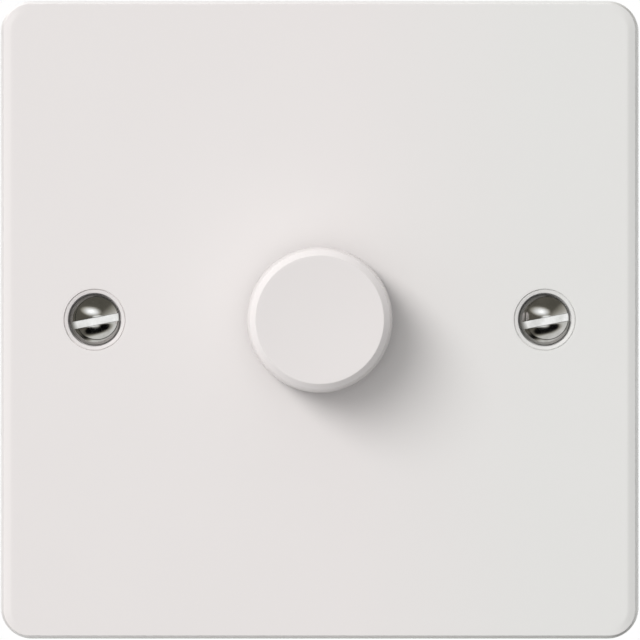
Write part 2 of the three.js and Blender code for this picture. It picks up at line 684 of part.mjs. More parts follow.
// Slotted cheese-head screw that clamps the wire. Its own origin is its tip.
function clampScrewSolid() {
  const { radius, length, headRadius, head, slot } = clampScrew;
  const body = turned(
    [
      [0, 0],
      [radius - 0.4, 0],
      [radius, -0.4],
      [radius, -length],
      [headRadius, -length],
      [headRadius, -length - head + 0.3],
      [headRadius - 0.3, -length - head],
      [0, -length - head],
    ],
    14,
  );
  return cut(body, block(-4, 4, -slot / 2, slot / 2, -length - 2 * head, -length - head * 0.4));
}

// Where a clamping screw's tip stands at rest: a little way into the wire hole.
const tipZ = (front) => front - wireHole.fromFront - wireHole.radius + clampScrew.engaged;

// Earth block riveted to the yoke. Its own origin is the middle of its front face.
function earthBlock() {
  const { half, depth, rivet, rivetHead } = earth;
  const body = block(-half, half, -half, half, -depth, 0);
  const cross = new THREE.CylinderGeometry(wireHole.radius, wireHole.radius, 2 * half, 24);
  const tapped = bar(clampScrew.radius + gap, -depth - 1, -wireHole.fromFront);
  const headRear = yoke.thickness + 2 * gap;
  const headFront = headRear + 0.6;
  const stem = bar(rivet, -0.5, headFront, 0, 0, 16);
  const spigot = joined(stem, bar(rivetHead, headRear, headFront, 0, 0, 16));
  return joined(cut(body, solid(cross.translate(0, -0.8, -wireHole.fromFront)), tapped), spigot);
}

// ---- the module's case ----

function moduleCaseShell() {
  const { width, height, corner, front, rear, wall, frontWall } = moduleCase;
  const ceiling = front - frontWall;
  const floor = -height / 2 + wall;
  const body = slab(width, height, corner, rear, front);
  const cavity = slab(width - 2 * wall, height - 2 * wall, corner - wall, rear - 1, ceiling);
  const pillars = coverScrewPlaces.map(([x, y]) => bar(2.7, rear + gap, ceiling + 0.5, x, y, 16));
  const pilots = coverScrewPlaces.map(([x, y]) => bar(coverScrew.radius + gap, rear - 1, -10, x, y, 12));
  const pocket = terminal.width / 2 + 0.3; // half of the room that each block has
  const between = terminal.pitch / 2;
  const outermost = terminal.pitch + pocket + 0.6;
  const walls = [
    [-outermost, 0.6],
    [-between, between - pocket],
    [between, between - pocket],
    [outermost, 0.6],
  ].map(([x, half]) => block(x - half, x + half, floor - 0.5, -11.3, rear + 0.2, ceiling + 0.5));
  const shelf = block(-15.5, 15.5, floor - 0.5, -11.3, terminal.front + 0.2, terminal.front + 1.6);
  const entryZ = terminal.front - wireHole.fromFront;
  const entry = 2.7; // half the side of each square entry
  const entries = terminalX.map((x) =>
    block(x - entry, x + entry, floor - 3, floor + 0.2, entryZ - entry, entryZ + entry),
  );
  const nib = bar(caseNib.radius, front - 0.5, yoke.front - 0.2, 0, caseNib.y, 20);
  const hollowed = joined(cut(body, cavity), ...pillars, ...walls, shelf, nib);
  return cut(hollowed, bar(bushSize.radius + 0.2, -2, 2), ...pilots, ...entries);
}

// Back cover with slots for air, a hole over each terminal screw and a recess for each cover screw.
function moduleCover() {
  const rear = cover.front - cover.thickness;
  const [from, to] = [rear - 1, cover.front + 1];
  const body = slab(moduleCase.width, moduleCase.height, moduleCase.corner, rear, cover.front);
  const ventSlot = slab(vent.width, vent.length, vent.width / 2 - 0.05, from, to, 2);
  const vents = [-2, -1, 0, 1, 2].map((step) => ventSlot.translate([step * vent.pitch, vent.y, 0]));
  const access = terminalX.map((x) => bar(cover.access, from, to, x, terminal.y, 20));
  const holes = coverScrewPlaces.map(([x, y]) => bar(coverScrew.radius + 0.35, from, to, x, y, 12));
  const seatFloor = rear + coverScrew.head + gap;
  const seatRadius = coverScrew.headRadius + 0.3;
  const seats = coverScrewPlaces.map(([x, y]) => bar(seatRadius, from, seatFloor, x, y, 16));
  return cut(body, ...vents, ...access, ...holes, ...seats);
}

// Pan-head thread-forming screw with a cross recess. Its own origin is under its head.
function coverScrewSolid() {
  const { radius, length, headRadius, head } = coverScrew;
  const body = turned(
    [
      [0, -head],
      [headRadius - 0.5, -head],
      [headRadius, -head + 0.4],
      [headRadius, 0],
      [radius, 0],
      [radius, length - 1],
      [0.3, length],
      [0, length],
    ],
    12,
  );
  return cut(body, block(-1.3, 1.3, -0.25, 0.25, -2, -0.4), block(-0.25, 0.25, -1.3, 1.3, -2, -0.4));
}

// ---- the assembly ----
const dimmer = new THREE.Group();
dimmer.name = "rotary_dimmer";
dimmer.rotation.x = Math.PI / 2;

function add(name, made, material, place = [0, 0, 0], turn = [0, 0, 0]) {
  const mesh = new THREE.Mesh(geometryOf(made), material);
  mesh.name = name;
  mesh.position.set(...place);
  mesh.rotation.set(...turn);
  dimmer.add(mesh);
}

add("front_plate", frontPlate(), whiteMoulding);
for (const [side, x] of [["left", -fixingCentres / 2], ["right", fixingCentres / 2]]) {
  add(`fixing_screw_${side}`, fixingScrew(), platedSteel, [x, 0, 0]);
  add(`screw_retainer_${side}`, screwRetainer(), whiteNylon, [x, 0, 0]);
}
add("knob", knob(), knobMoulding);
add("knob_clip", knobClip(), springSteel);
add("mounting_yoke", mountingYoke(), galvanisedSteel);
add("lock_washer", lockWasher(), platedSteel);
add("bush_nut", bushNut(), platedSteel);

add("pot_bush", potBush(), zincCasting);
add("control_shaft", controlShaft(), aluminium);
add("shaft_circlip", shaftCirclip(), springSteel);
add("pot_housing", potHousing(), bluePlastic);
add("wiper_rotor", wiperRotor(), whiteNylon);
add("wiper_contact", wiperContact(), bronze);
add("resistance_track", resistanceTrack(), phenolic);

add("switch_housing", switchHousing(), blackNylon);
add("switch_plunger", switchPlunger(), whiteNylon);
add("return_spring", returnSpring(), springSteel);
const pinAxis = [rockerPlace.x, 0, rockerPlace.z];
const rockerTurn = [0, -THREE.MathUtils.degToRad(rockerPlace.tilt), 0];
add("contact_rocker", contactRocker(), bronze, pinAxis, rockerTurn);
add("rocker_pin", rockerPin(), springSteel, pinAxis);
contactStrips.forEach((strip, i) => add(`fixed_contact_${i + 1}`, fixedContact(strip), brass));

add("circuit_board", circuitBoard(), laminate);
const chokeTurn = [0, Math.PI / 2, 0];
add("choke_core", chokeCore(), ferrite, [choke.x, choke.y, choke.z], chokeTurn);
add("choke_winding", chokeWinding(), copperWire, [choke.x, choke.y, choke.z], chokeTurn);
add("suppression_capacitor", boxedCapacitor(film), capacitorCase, [film.x, film.y, 0]);
add("timing_capacitor", boxedCapacitor(timing), capacitorCase, [timing.x, timing.y, 0]);
add("triac", triacBody(), epoxy);
add("triac_screw", triacScrew(), platedSteel, [triac.screwX, 0, (triac.z0 + triac.z1) / 2]);
add("heat_sink", heatSinkPlate(), aluminium);
add("fuse", cartridgeFuse(), fuseGlass, [fuse.x, fuse.y, fuse.z]);
[-1, 1].forEach((side, i) => {
  add(`fuse_clip_${i + 1}`, fuseClip(), bronze, [fuse.x, fuse.y + side * fuse.clips, fuse.z]);
});
for (const [name, part] of Object.entries(axialParts)) {
  add(name, axialPart(part), name === "diac" ? bluePlastic : resistorBody, [part.x, part.y, 0]);
}

terminalX.forEach((x, i) => {
  add(`terminal_block_${i + 1}`, terminalBlock(), brass, [x, terminal.y, terminal.front]);
  add(`terminal_screw_${i + 1}`, clampScrewSolid(), platedSteel, [x, terminal.y, tipZ(terminal.front)]);
});
const earthFront = yoke.front - yoke.thickness - gap;
add("earth_block", earthBlock(), brass, [earth.x, earth.y, earthFront]);
add("earth_screw", clampScrewSolid(), platedSteel, [earth.x, earth.y, tipZ(earthFront)]);

add("module_case", moduleCaseShell(), blackNylon);
add("module_cover", moduleCover(), blackNylon);
const headSeat = cover.front - cover.thickness + coverScrew.head;
coverScrewPlaces.forEach(([x, y], i) => {
  add(`cover_screw_${i + 1}`, coverScrewSolid(), platedSteel, [x, y, headSeat]);
});

export default dimmer;
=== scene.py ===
# Rotary push dimmer for a one-gang wall box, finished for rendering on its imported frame.
import math

import bmesh
import bpy
import numpy as np
from mathutils import Matrix, Vector
from mathutils.geometry import delaunay_2d_cdt


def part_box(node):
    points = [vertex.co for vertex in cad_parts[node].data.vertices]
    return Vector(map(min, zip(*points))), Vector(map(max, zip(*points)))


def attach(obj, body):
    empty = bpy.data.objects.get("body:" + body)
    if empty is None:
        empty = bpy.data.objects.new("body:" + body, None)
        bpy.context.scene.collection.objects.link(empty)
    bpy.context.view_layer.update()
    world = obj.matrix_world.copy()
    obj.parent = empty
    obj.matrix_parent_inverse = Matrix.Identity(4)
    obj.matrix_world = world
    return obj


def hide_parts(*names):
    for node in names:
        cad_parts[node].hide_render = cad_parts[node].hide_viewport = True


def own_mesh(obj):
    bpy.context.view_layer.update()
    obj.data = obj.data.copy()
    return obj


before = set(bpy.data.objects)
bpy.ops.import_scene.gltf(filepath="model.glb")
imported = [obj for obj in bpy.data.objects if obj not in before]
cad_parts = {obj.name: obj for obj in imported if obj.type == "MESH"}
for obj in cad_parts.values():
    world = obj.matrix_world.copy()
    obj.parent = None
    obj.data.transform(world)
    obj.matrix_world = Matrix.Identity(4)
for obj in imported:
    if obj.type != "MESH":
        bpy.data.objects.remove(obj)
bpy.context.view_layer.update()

mm = 0.001
turn = 2 * math.pi

# The camera looks straight at the plate through a long lens; frameWidth is what it spans on the wall.
camera = {"lens": 400.0, "sensor": 36.0, "frameWidth": 86.31, "right": 0.04, "up": -0.03}


def makeCamera():
    data = bpy.data.cameras.new("plateCamera")
    data.lens, data.sensor_width = camera["lens"], camera["sensor"]
    data.clip_start, data.clip_end = 0.05, 20
    cameraObject = bpy.data.objects.new("plateCamera", data)
    distance = camera["frameWidth"] * camera["lens"] / camera["sensor"]
    cameraObject.location = (camera["right"] * mm, -distance * mm, camera["up"] * mm)
    cameraObject.rotation_euler = (math.pi / 2, 0, 0)
    bpy.context.scene.collection.objects.link(cameraObject)
    bpy.context.scene.camera = cameraObject


makeCamera()
print("camera placed")


# Every surface is worked out in millimetres as the fitter sees it: x to the right, y up and z out of
# the wall. Shell.piece turns that into the frame, where out of the wall is -Y and up is +Z.


class Shell:
    # Gathers grids of points and the faces between them into one mesh.
    def __init__(self):
        self.points, self.faces, self.count = [], [], 0
        self.marks = []

    def grid(self, points, mark=0.0):
        # rows of points, kept as a table of their numbers; mark is a value that a material may read
        points = np.asarray(points, float)
        start = self.count
        self.points.append(points.reshape(-1, 3))
        self.marks.append(np.broadcast_to(mark, points.shape[:-1]).reshape(-1).astype(float))
        self.count += self.points[-1].shape[0]
        return np.arange(start, self.count).reshape(points.shape[:-1])

    def skin(self, rows, closed=True):
        # four-sided faces between each row and the next, round to the first column again if closed
        here = rows if closed else rows[:, :-1]
        beside = np.roll(rows, -1, axis=1) if closed else rows[:, 1:]
        quads = np.stack([here[:-1], beside[:-1], beside[1:], here[1:]], -1).reshape(-1, 4)
        self.faces.extend(quads.tolist())

    def fill(self, outline, holes=(), flat=(0, 1)):
        # flat face inside an outline and outside its holes, cut into triangles that keep every given edge
        loops = [np.asarray(loop) for loop in (outline, *holes)]
        numbers = np.concatenate(loops)
        spots = np.concatenate(self.points)[numbers][:, list(flat)]
        starts = np.cumsum([0] + [len(loop) for loop in loops])
        rims = [list(range(a, b)) for a, b in zip(starts[:-1], starts[1:])]
        made = delaunay_2d_cdt([Vector(spot) for spot in spots], [], rims, 2, 1e-7)
        back = [numbers[sources[0]] for sources in made[3]]
        self.faces.extend([[int(back[corner]) for corner in face] for face in made[2]])

    def cap(self, row):
        self.faces.append([int(number) for number in row])

    def piece(self, name, material, body, slot, *replaced, sharp=35.0, markName=""):
        points = np.concatenate(self.points)
        placed = np.stack([points[:, 0], -points[:, 2], points[:, 1]], -1) * mm
        mesh = bpy.data.meshes.new(name)
        mesh.from_pydata(placed.tolist(), [], self.faces)
        if markName:
            layer = mesh.attributes.new(markName, "FLOAT", "POINT")
            layer.data.foreach_set("value", np.concatenate(self.marks).astype(np.float32))
        return finishPiece(name, mesh, material, body, replaced, sharp)


def finishPiece(name, mesh, material, body, replaced, sharp):
    # merges shared points, turns every face outwards and rides on its body
    work = bmesh.new()
    work.from_mesh(mesh)
    bmesh.ops.remove_doubles(work, verts=work.verts, dist=2e-7)
    bmesh.ops.dissolve_degenerate(work, edges=work.edges, dist=1e-8)
    bmesh.ops.recalc_face_normals(work, faces=work.faces)
    work.to_mesh(mesh)
    work.free()
    mesh.polygons.foreach_set("use_smooth", np.ones(len(mesh.polygons), bool))
    mesh.set_sharp_from_angle(angle=math.radians(sharp))
    piece = bpy.data.objects.new(name, mesh)
    bpy.context.scene.collection.objects.link(piece)
    mesh.materials.append(material)
    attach(piece, body)
    if replaced:
        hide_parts(*replaced)
    return piece


def softened(corners, radii, steps=6):
    # a bent line whose inner corners become arcs of the given radii, each tangent to both of its sides
    corners = np.asarray(corners, float)
    run = [corners[:1]]
    for before, corner, after, radius in zip(corners[:-2], corners[1:-1], corners[2:], radii):
        if radius <= 0:
            run.append(corner[None])
            continue
        a = (before - corner) / np.linalg.norm(before - corner)
        b = (after - corner) / np.linalg.norm(after - corner)
        half = math.acos(np.clip(a @ b, -1, 1)) / 2
        centre = corner + (a + b) / np.linalg.norm(a + b) * radius / math.sin(half)
        first = corner + a * radius / math.tan(half) - centre
        last = corner + b * radius / math.tan(half) - centre
        swing = math.pi - 2 * half
        share = np.linspace(0, 1, steps + 1)[:, None]
        arc = np.sin((1 - share) * swing) * first + np.sin(share * swing) * last
        run.append(centre + arc / math.sin(swing))
    run.append(corners[-1:])
    return np.concatenate(run)


def turned(profile, sides, centre=(0.0, 0.0)):
    # each [radius, out] of the profile carried round a circle about the centre
    profile = np.asarray(profile, float)
    angle = np.arange(sides) * turn / sides
    radius, out = profile[:, :1], profile[:, 1:]
    x = centre[0] + radius * np.cos(angle)
    y = centre[1] + radius * np.sin(angle)
    return np.stack([x, y, out + 0 * x], -1)


def carried(profile, half, corner, centre=(0.0, 0.0), arcSteps=10, edgeSteps=8):
    # each [inset, out] of the profile carried round a rectangle with rounded corners: the outline moves in
    # by the inset, and its corner radius shrinks by as much
    profile = np.asarray(profile, float)
    angle = (np.linspace(0, 0.25, arcSteps + 1)[None] + np.arange(4)[:, None] / 4) * turn
    signs = np.array([[1, 1], [-1, 1], [-1, -1], [1, -1]], float)
    rows = []
    for inset, out in profile:
        radius = max(corner - inset, 0.02)
        middle = signs * (np.array(half) - inset - radius)
        arcs = middle[:, None] + radius * np.stack([np.cos(angle), np.sin(angle)], -1)
        share = (np.arange(1, edgeSteps + 1) / (edgeSteps + 1))[None, :, None]
        edges = arcs[:, -1:] * (1 - share) + np.roll(arcs, -1, axis=0)[:, :1] * share
        ring = np.concatenate([arcs, edges], 1).reshape(-1, 2) + centre
        rows.append(np.concatenate([ring, np.full((len(ring), 1), out)], 1))
    return np.stack(rows)


def tube(path, radius, sides=10, closedPath=False):
    # a circle of that radius carried along a path of points, square to it, with its two ends closed up
    path = np.asarray(path, float)
    ahead = np.gradient(path, axis=0)
    ahead /= np.linalg.norm(ahead, axis=1, keepdims=True)
    helper = np.where(np.abs(ahead[:, 2:]) > 0.9, [[1.0, 0, 0]], [[0, 0, 1.0]])
    side = np.cross(ahead, helper)
    side /= np.linalg.norm(side, axis=1, keepdims=True)
    up = np.cross(side, ahead)
    angle = np.arange(sides) * turn / sides
    rings = path[:, None] + radius * (
        np.cos(angle)[None, :, None] * side[:, None] + np.sin(angle)[None, :, None] * up[:, None]
    )
    return np.concatenate([path[:1, None] + 0 * rings[:1], rings, path[-1:, None] + 0 * rings[-1:]])


def frameBox(node):
    # a node's box as the fitter sees it, in millimetres: lowest and highest x, y and distance out
    low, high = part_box(node)
    return np.array([low.x, low.z, -high.y]) / mm, np.array([high.x, high.z, -low.y]) / mm


def linear(hexColour):
    # an sRGB hex colour as the linear values that a shader takes
    parts = np.array([int(hexColour[at : at + 2], 16) for at in (1, 3, 5)]) / 255
    straight = np.where(parts <= 0.04045, parts / 12.92, ((parts + 0.055) / 1.055) ** 2.4)
    return (*straight.tolist(), 1.0)


def perMetre(size):
    # the texture scale that makes a pattern of that size in millimetres
    return 1000 / size


def addNode(tree, kind, values=None, links=None, **settings):
    # a shader node with the values and the links of its sockets, and its own settings
    made = tree.nodes.new("ShaderNode" + kind)
    for key, value in settings.items():
        setattr(made, key, value)
    for key, value in (values or {}).items():
        made.inputs[key].default_value = value
    for key, source in (links or {}).items():
        tree.links.new(source, made.inputs[key])
    return made


def startMaterial(name, **shaderValues):
    # a new material with its shader, and the place on the piece that its patterns are drawn from
    made = bpy.data.materials.new(name)
    made.use_nodes = True
    tree = made.node_tree
    shader = tree.nodes["Principled BSDF"]
    for key, value in shaderValues.items():
        shader.inputs[key.replace("_", " ")].default_value = value
    place = addNode(tree, "TexCoord").outputs["Object"]
    return made, tree, shader, place


def mixColours(tree, share, first, second):
    # from the first hex colour at 0 to the second at 1
    mixed = addNode(tree, "Mix", data_type="RGBA")
    mixed.inputs[6].default_value, mixed.inputs[7].default_value = linear(first), linear(second)
    tree.links.new(share, mixed.inputs[0])
    return mixed.outputs[2]


def ranged(tree, value, low, high, fromLow=0.35, fromHigh=0.65):
    # low to high as the value goes over the middle of its range, which is where a noise spends its time
    spread = {"From Min": fromLow, "From Max": fromHigh, "To Min": low, "To Max": high}
    return addNode(tree, "MapRange", spread, {"Value": value}).outputs["Result"]


def glossUrea(name, warmLitColour, neutral, rough, peel):
    # Urea-formaldehyde moulded in a polished tool: an even white under painted warm light, warm on the left
    # and fading to neutral across the moulding; a soft gloss; and a trace of orange peel that only shows in
    # reflections.
    made, tree, shader, place = startMaterial(name, IOR=1.5)
    across = addNode(tree, "SeparateXYZ", None, {"Vector": place}).outputs["X"]
    flow = addNode(tree, "TexNoise", {"Scale": perMetre(30), "Detail": 2.0}, {"Vector": place})
    # painted warm light: the colour is warm up to 4 mm right of the middle and neutral from 32 mm, as if a
    # warm lamp lit the left side; the noise adds random tone
    ends = {"From Min": 4 * mm, "From Max": 32 * mm}
    paintedWarmLight = addNode(tree, "MapRange", ends, {"Value": across}).outputs["Result"]
    clouds = {0: flow.outputs["Fac"], 2: paintedWarmLight}
    cloudy = addNode(tree, "Math", {1: 0.12}, clouds, operation="MULTIPLY_ADD").outputs[0]
    tree.links.new(mixColours(tree, cloudy, warmLitColour, neutral), shader.inputs["Base Color"])
    handling = addNode(tree, "TexNoise", {"Scale": perMetre(12), "Detail": 3.0}, {"Vector": place})
    level = ranged(tree, handling.outputs["Fac"], rough * 0.94, rough * 1.06)
    tree.links.new(level, shader.inputs["Roughness"])
    orange = addNode(tree, "TexNoise", {"Scale": perMetre(1.6), "Detail": 1.0}, {"Vector": place})
    peeled = {"Strength": peel, "Distance": 0.003 * mm}
    bump = addNode(tree, "Bump", peeled, {"Height": orange.outputs["Fac"]})
    tree.links.new(bump.outputs["Normal"], shader.inputs["Normal"])
    return made


def nickelPlate(name, ringed):
    # Bright nickel: mirror-like, with a little clouding in the plating. On a turned screw it is broken by
    # turning rings a tenth of a millimetre apart, and painted shade darkens and dulls it in its groove,
    # slot and rim.
    made, tree, shader, place = startMaterial(name, Metallic=1.0)
    noise = addNode(tree, "TexNoise", {"Scale": perMetre(1.5), "Detail": 4.0}, {"Vector": place})
    cloud = noise.outputs["Fac"]
    plating = mixColours(tree, ranged(tree, cloud, 0, 1), "#D4D3D1", "#C3C2BF")
    rough = ranged(tree, cloud, 0.08, 0.15)
    if ringed:
        # painted shade: a value from 0 to 1 on the screw's points, darkening the plating towards a
        # grey-olive
        painted_shade = addNode(tree, "Attribute", attribute_name="painted_shade").outputs["Fac"]
        shadedPlating = addNode(tree, "Mix", None, {0: painted_shade, 6: plating}, data_type="RGBA")
        shadedPlating.inputs[7].default_value = linear("#45433B")
        plating = shadedPlating.outputs[2]
        duller = {0: painted_shade, 2: rough}
        rough = addNode(tree, "Math", {1: 0.3}, duller, operation="MULTIPLY_ADD").outputs[0]
        parts = addNode(tree, "SeparateXYZ", None, {"Vector": place})
        beside = addNode(tree, "Math", None, {0: parts.outputs["X"]}, operation="ABSOLUTE").outputs[0]
        across = addNode(tree, "Math", {1: screwX[1] * mm}, {0: beside}, operation="SUBTRACT").outputs[0]
        flat = addNode(tree, "CombineXYZ", None, {"X": across, "Y": parts.outputs["Z"]}).outputs[0]
        fromAxis = addNode(tree, "VectorMath", None, {0: flat}, operation="LENGTH").outputs["Value"]
        rings = {"Scale": perMetre(0.11), "Detail": 3.0}
        relief = addNode(tree, "TexNoise", rings, {"W": fromAxis}, noise_dimensions="1D")
    else:
        relief = addNode(tree, "TexNoise", {"Scale": perMetre(0.4), "Detail": 3.0}, {"Vector": place})
    tree.links.new(plating, shader.inputs["Base Color"])
    tree.links.new(rough, shader.inputs["Roughness"])
    depth = {"Strength": 0.25, "Distance": 0.006 * mm}
    bump = addNode(tree, "Bump", depth, {"Height": relief.outputs["Fac"]})
    tree.links.new(bump.outputs["Normal"], shader.inputs["Normal"])
    return made


def zincSheet():
    # Hot-dip galvanised sheet: grey with a spangle of crystals a few millimetres across, each of which
    # throws the light back a little differently.
    made, tree, shader, place = startMaterial("galvanised sheet steel", Metallic=1.0)
    spangle = addNode(tree, "TexVoronoi", {"Scale": perMetre(4.5), "Randomness": 1.0}, {"Vector": place})
    tone = addNode(tree, "SeparateColor", None, {"Color": spangle.outputs["Color"]}).outputs["Red"]
    tree.links.new(mixColours(tree, tone, "#A9AEB1", "#BEC2C4"), shader.inputs["Base Color"])
    tree.links.new(ranged(tree, tone, 0.32, 0.5, 0, 1), shader.inputs["Roughness"])
    frost = addNode(tree, "TexNoise", {"Scale": perMetre(0.5), "Detail": 4.0}, {"Vector": place})
    bump = addNode(tree, "Bump", {"Strength": 0.3, "Distance": 0.01 * mm}, {"Height": frost.outputs["Fac"]})
    tree.links.new(bump.outputs["Normal"], shader.inputs["Normal"])
    return made


def drawnMetal(name, pale, deep, rough, stretch):
    # Drawn, rolled or sawn metal: fine lines along one direction, and a patchy bloom where it was handled.
    # The lines are a quarter of a millimetre apart, coarser than real ones, so that they show.
    made, tree, shader, place = startMaterial(name, Metallic=1.0)
    noise = addNode(tree, "TexNoise", {"Scale": perMetre(3), "Detail": 4.0}, {"Vector": place})
    bloom = ranged(tree, noise.outputs["Fac"], 0, 1)
    tree.links.new(mixColours(tree, bloom, pale, deep), shader.inputs["Base Color"])
    along = addNode(tree, "Mapping", {"Scale": stretch}, {"Vector": place}).outputs["Vector"]
    lines = addNode(tree, "TexNoise", {"Scale": perMetre(0.25), "Detail": 2.0}, {"Vector": along})
    scored = lines.outputs["Fac"]
    tree.links.new(ranged(tree, scored, rough * 0.7, rough * 1.4), shader.inputs["Roughness"])
    bump = addNode(tree, "Bump", {"Strength": 0.25, "Distance": 0.008 * mm}, {"Height": scored})
    tree.links.new(bump.outputs["Normal"], shader.inputs["Normal"])
    return made


def mouldedPlastic(name, pale, deep, rough, grain, depth):
    # Moulding from a spark-eroded tool: an even matt grain, with cloudy flow marks under it. The grain's
    # size is in millimetres and coarser than a real one, so that it shows.
    made, tree, shader, place = startMaterial(name, IOR=1.5)
    cloudy = {"Scale": perMetre(14), "Detail": 3.0, "Distortion": 0.6}
    flow = addNode(tree, "TexNoise", cloudy, {"Vector": place})
    marks = ranged(tree, flow.outputs["Fac"], 0, 1)
    tree.links.new(mixColours(tree, marks, pale, deep), shader.inputs["Base Color"])
    noise = addNode(tree, "TexNoise", {"Scale": perMetre(grain), "Detail": 3.0}, {"Vector": place})
    eroded = noise.outputs["Fac"]
    tree.links.new(ranged(tree, eroded, rough * 0.85, rough * 1.15), shader.inputs["Roughness"])
    bump = addNode(tree, "Bump", {"Strength": 0.5, "Distance": depth * mm}, {"Height": eroded})
    tree.links.new(bump.outputs["Normal"], shader.inputs["Normal"])
    return made


def clearGlass():
    # Drawn glass tube: clear and glossy, with a trace of waviness along its wall.
    made, tree, shader, place = startMaterial("drawn glass tube", IOR=1.5)
    shader.inputs["Transmission Weight"].default_value = 1.0
    noise = addNode(tree, "TexNoise", {"Scale": perMetre(5), "Detail": 1.0}, {"Vector": place})
    wave = noise.outputs["Fac"]
    tree.links.new(mixColours(tree, wave, "#F4FAF8", "#EEF6F3"), shader.inputs["Base Color"])
    tree.links.new(ranged(tree, wave, 0.01, 0.04), shader.inputs["Roughness"])
    return made


# across the wall, the middle of each fixing screw
screwX = [sum(edge[0] for edge in frameBox("fixing_screw_" + side)) / 2 for side in ("left", "right")]

plateUrea = glossUrea("gloss moulded urea", "#EEEAE9", "#EAEAE8", 0.3, 0.12)
knobUrea = glossUrea("satin moulded urea", "#ECE8E7", "#EBE7E6", 0.32, 0.12)
tubeGlass = clearGlass()
ringedNickel = nickelPlate("nickel plate on turned steel", True)
plainNickel = nickelPlate("nickel plate on pressed steel", False)
sheetSteel = zincSheet()
springWire = drawnMetal("oiled spring steel", "#8E9092", "#6E7073", 0.28, (1, 1, 0.05))
castZinc = drawnMetal("tumbled zinc casting", "#A6A9AB", "#8D9093", 0.42, (1, 1, 1))
sawnBrass = drawnMetal("sawn brass bar", "#D8B76A", "#BC9448", 0.3, (0.05, 1, 1))
bronzeStrip = drawnMetal("phosphor bronze strip", "#C9935C", "#A8703D", 0.3, (1, 1, 0.05))
rolledAluminium = drawnMetal("rolled aluminium", "#C9CBCC", "#B0B3B5", 0.35, (0.04, 1, 1))
blackNylon = mouldedPlastic("glass-filled black nylon", "#2C2D30", "#232427", 0.5, 0.35, 0.02)
whiteNylon = mouldedPlastic("natural nylon", "#ECE8DA", "#E2DDCC", 0.42, 0.6, 0.006)
bluePolyester = mouldedPlastic("blue moulded polyester", "#35588F", "#2B4A7C", 0.4, 0.5, 0.008)
solderResist = mouldedPlastic("green solder resist", "#2F6B3C", "#275C33", 0.28, 0.8, 0.006)
phenolicPaper = mouldedPlastic("pressed phenolic paper", "#77502F", "#5F3E23", 0.5, 0.3, 0.008)
powderCore = mouldedPlastic("coated iron powder", "#DCCB50", "#CDBB40", 0.45, 0.4, 0.03)
windingEnamel = drawnMetal("enamelled copper wire", "#B8662F", "#974B1E", 0.25, (1, 1, 1))
mouldedEpoxy = mouldedPlastic("black moulded epoxy", "#232325", "#1B1B1D", 0.38, 0.3, 0.008)
filmBox = mouldedPlastic("grey capacitor case", "#90949A", "#858990", 0.4, 0.6, 0.006)
resistorLacquer = mouldedPlastic("beige resistor lacquer", "#D0B083", "#C4A172", 0.3, 0.9, 0.01)
blueLacquer = mouldedPlastic("blue lacquer", "#3A5FA0", "#2F5090", 0.25, 0.9, 0.008)
print("finishes made")


# All sizes in these dictionaries are in millimetres and all angles in degrees.
plate = {
    "corner": 4.2,  # radius of its corners, seen from the front
    "edge": 0.12,  # radius between its face and its sides
    "shoulder": 1.25,  # width of the bevel that runs down to the two upright edges
    "shoulderCurve": 0.5,  # part of that width over which the bevel curves away from the face
    "shoulderLean": 20.0,
    "draft": 0.66,  # how far each side leans in on the way to the face
    "wall": 2.0,
    "backEdge": 0.15,  # radius of the edge that meets the wall
    "backDraft": 0.1,  # how far each side leans in on its inner face
    "backRound": 0.7,  # radius inside, between the sides and the front
    # outlines of the openings, from the face to the back: radius, depth below the face, rounding
    "well": (
        (4.6, 0.0, 0.0),
        (4.15, 0.0, 0.015),
        (4.12, 0.3, 0.02),
        (4.05, 0.3, 0.02),
        (4.03, 0.12, 0.03),
        (3.62, 0.24, 0.03),
        (3.57, 0.32, 0.03),
        (3.57, 1.0, 0.05),
        (2.05, 2.52, 0.05),
        (2.05, 3.05, 0.05),
        (4.4, 3.05, 0.1),
        (4.4, 3.9, 0.1),
        (6.0, 3.9, 0.15),
        (6.05, 2.0, 0.3),
        (6.8, 2.0, 0.0),
    ),
    "shaftHole": (
        (5.9, 0.0, 0.0),
        (5.4, 0.0, 0.15),
        (5.4, 1.2, 0.1),
        (8.4, 1.2, 0.2),
        (8.4, 3.8, 0.15),
        (9.8, 3.8, 0.15),
        (9.85, 2.0, 0.3),
        (10.6, 2.0, 0.0),
    ),
    "holeSides": 96,
}
rib = {
    "x": 19.0,
    "halfWidth": 0.6,
    "halfLength": 25.5,
    "corner": 0.25,
    "rear": 2.7,  # distance out of the wall of its edge
    "draft": 0.08,
    "foot": 0.7,  # how far its foot spreads into the plate
    "rounding": (0.3, 0.15),
}
# the marks that the ejector pins leave inside the plate
pinMark = {
    "radius": 2.6,
    "depth": 0.12,
    "border": 0.5,
    "rounding": (0.04, 0.04),
    "spots": ((-34, 34), (34, 34), (-34, -34), (34, -34), (0, 33), (0, -33)),
}
plateHigh = frameBox("front_plate")[1]
face = plateHigh[2]
ceiling = face - plate["wall"]


def openingOutline(name):
    # radius and distance out of the wall along one of the plate's openings
    radius, depth, rounding = np.array(plate[name]).T
    return softened(np.stack([radius, face - depth], -1), rounding[1:-1], 5)


def plateSection():
    # the section through one side of the plate, from the face round its foot to the inside: inset, out
    wall, draft, shoulder = plate["wall"], plate["draft"], plate["shoulder"]
    inward = [(draft + shoulder * step, face) for step in np.linspace(1.1, 0.15, 16)]
    foot = [inward[-1], (draft, face), (0, 0), (wall, 0)]
    outside = softened(foot, [plate["edge"], plate["backEdge"]], 8)
    top = wall + plate["backDraft"]
    inside = softened([(wall, 0), (top, ceiling), (top + 1.3, ceiling)], [plate["backRound"]], 8)
    return np.concatenate([inward[:-1], outside, inside[1:]])


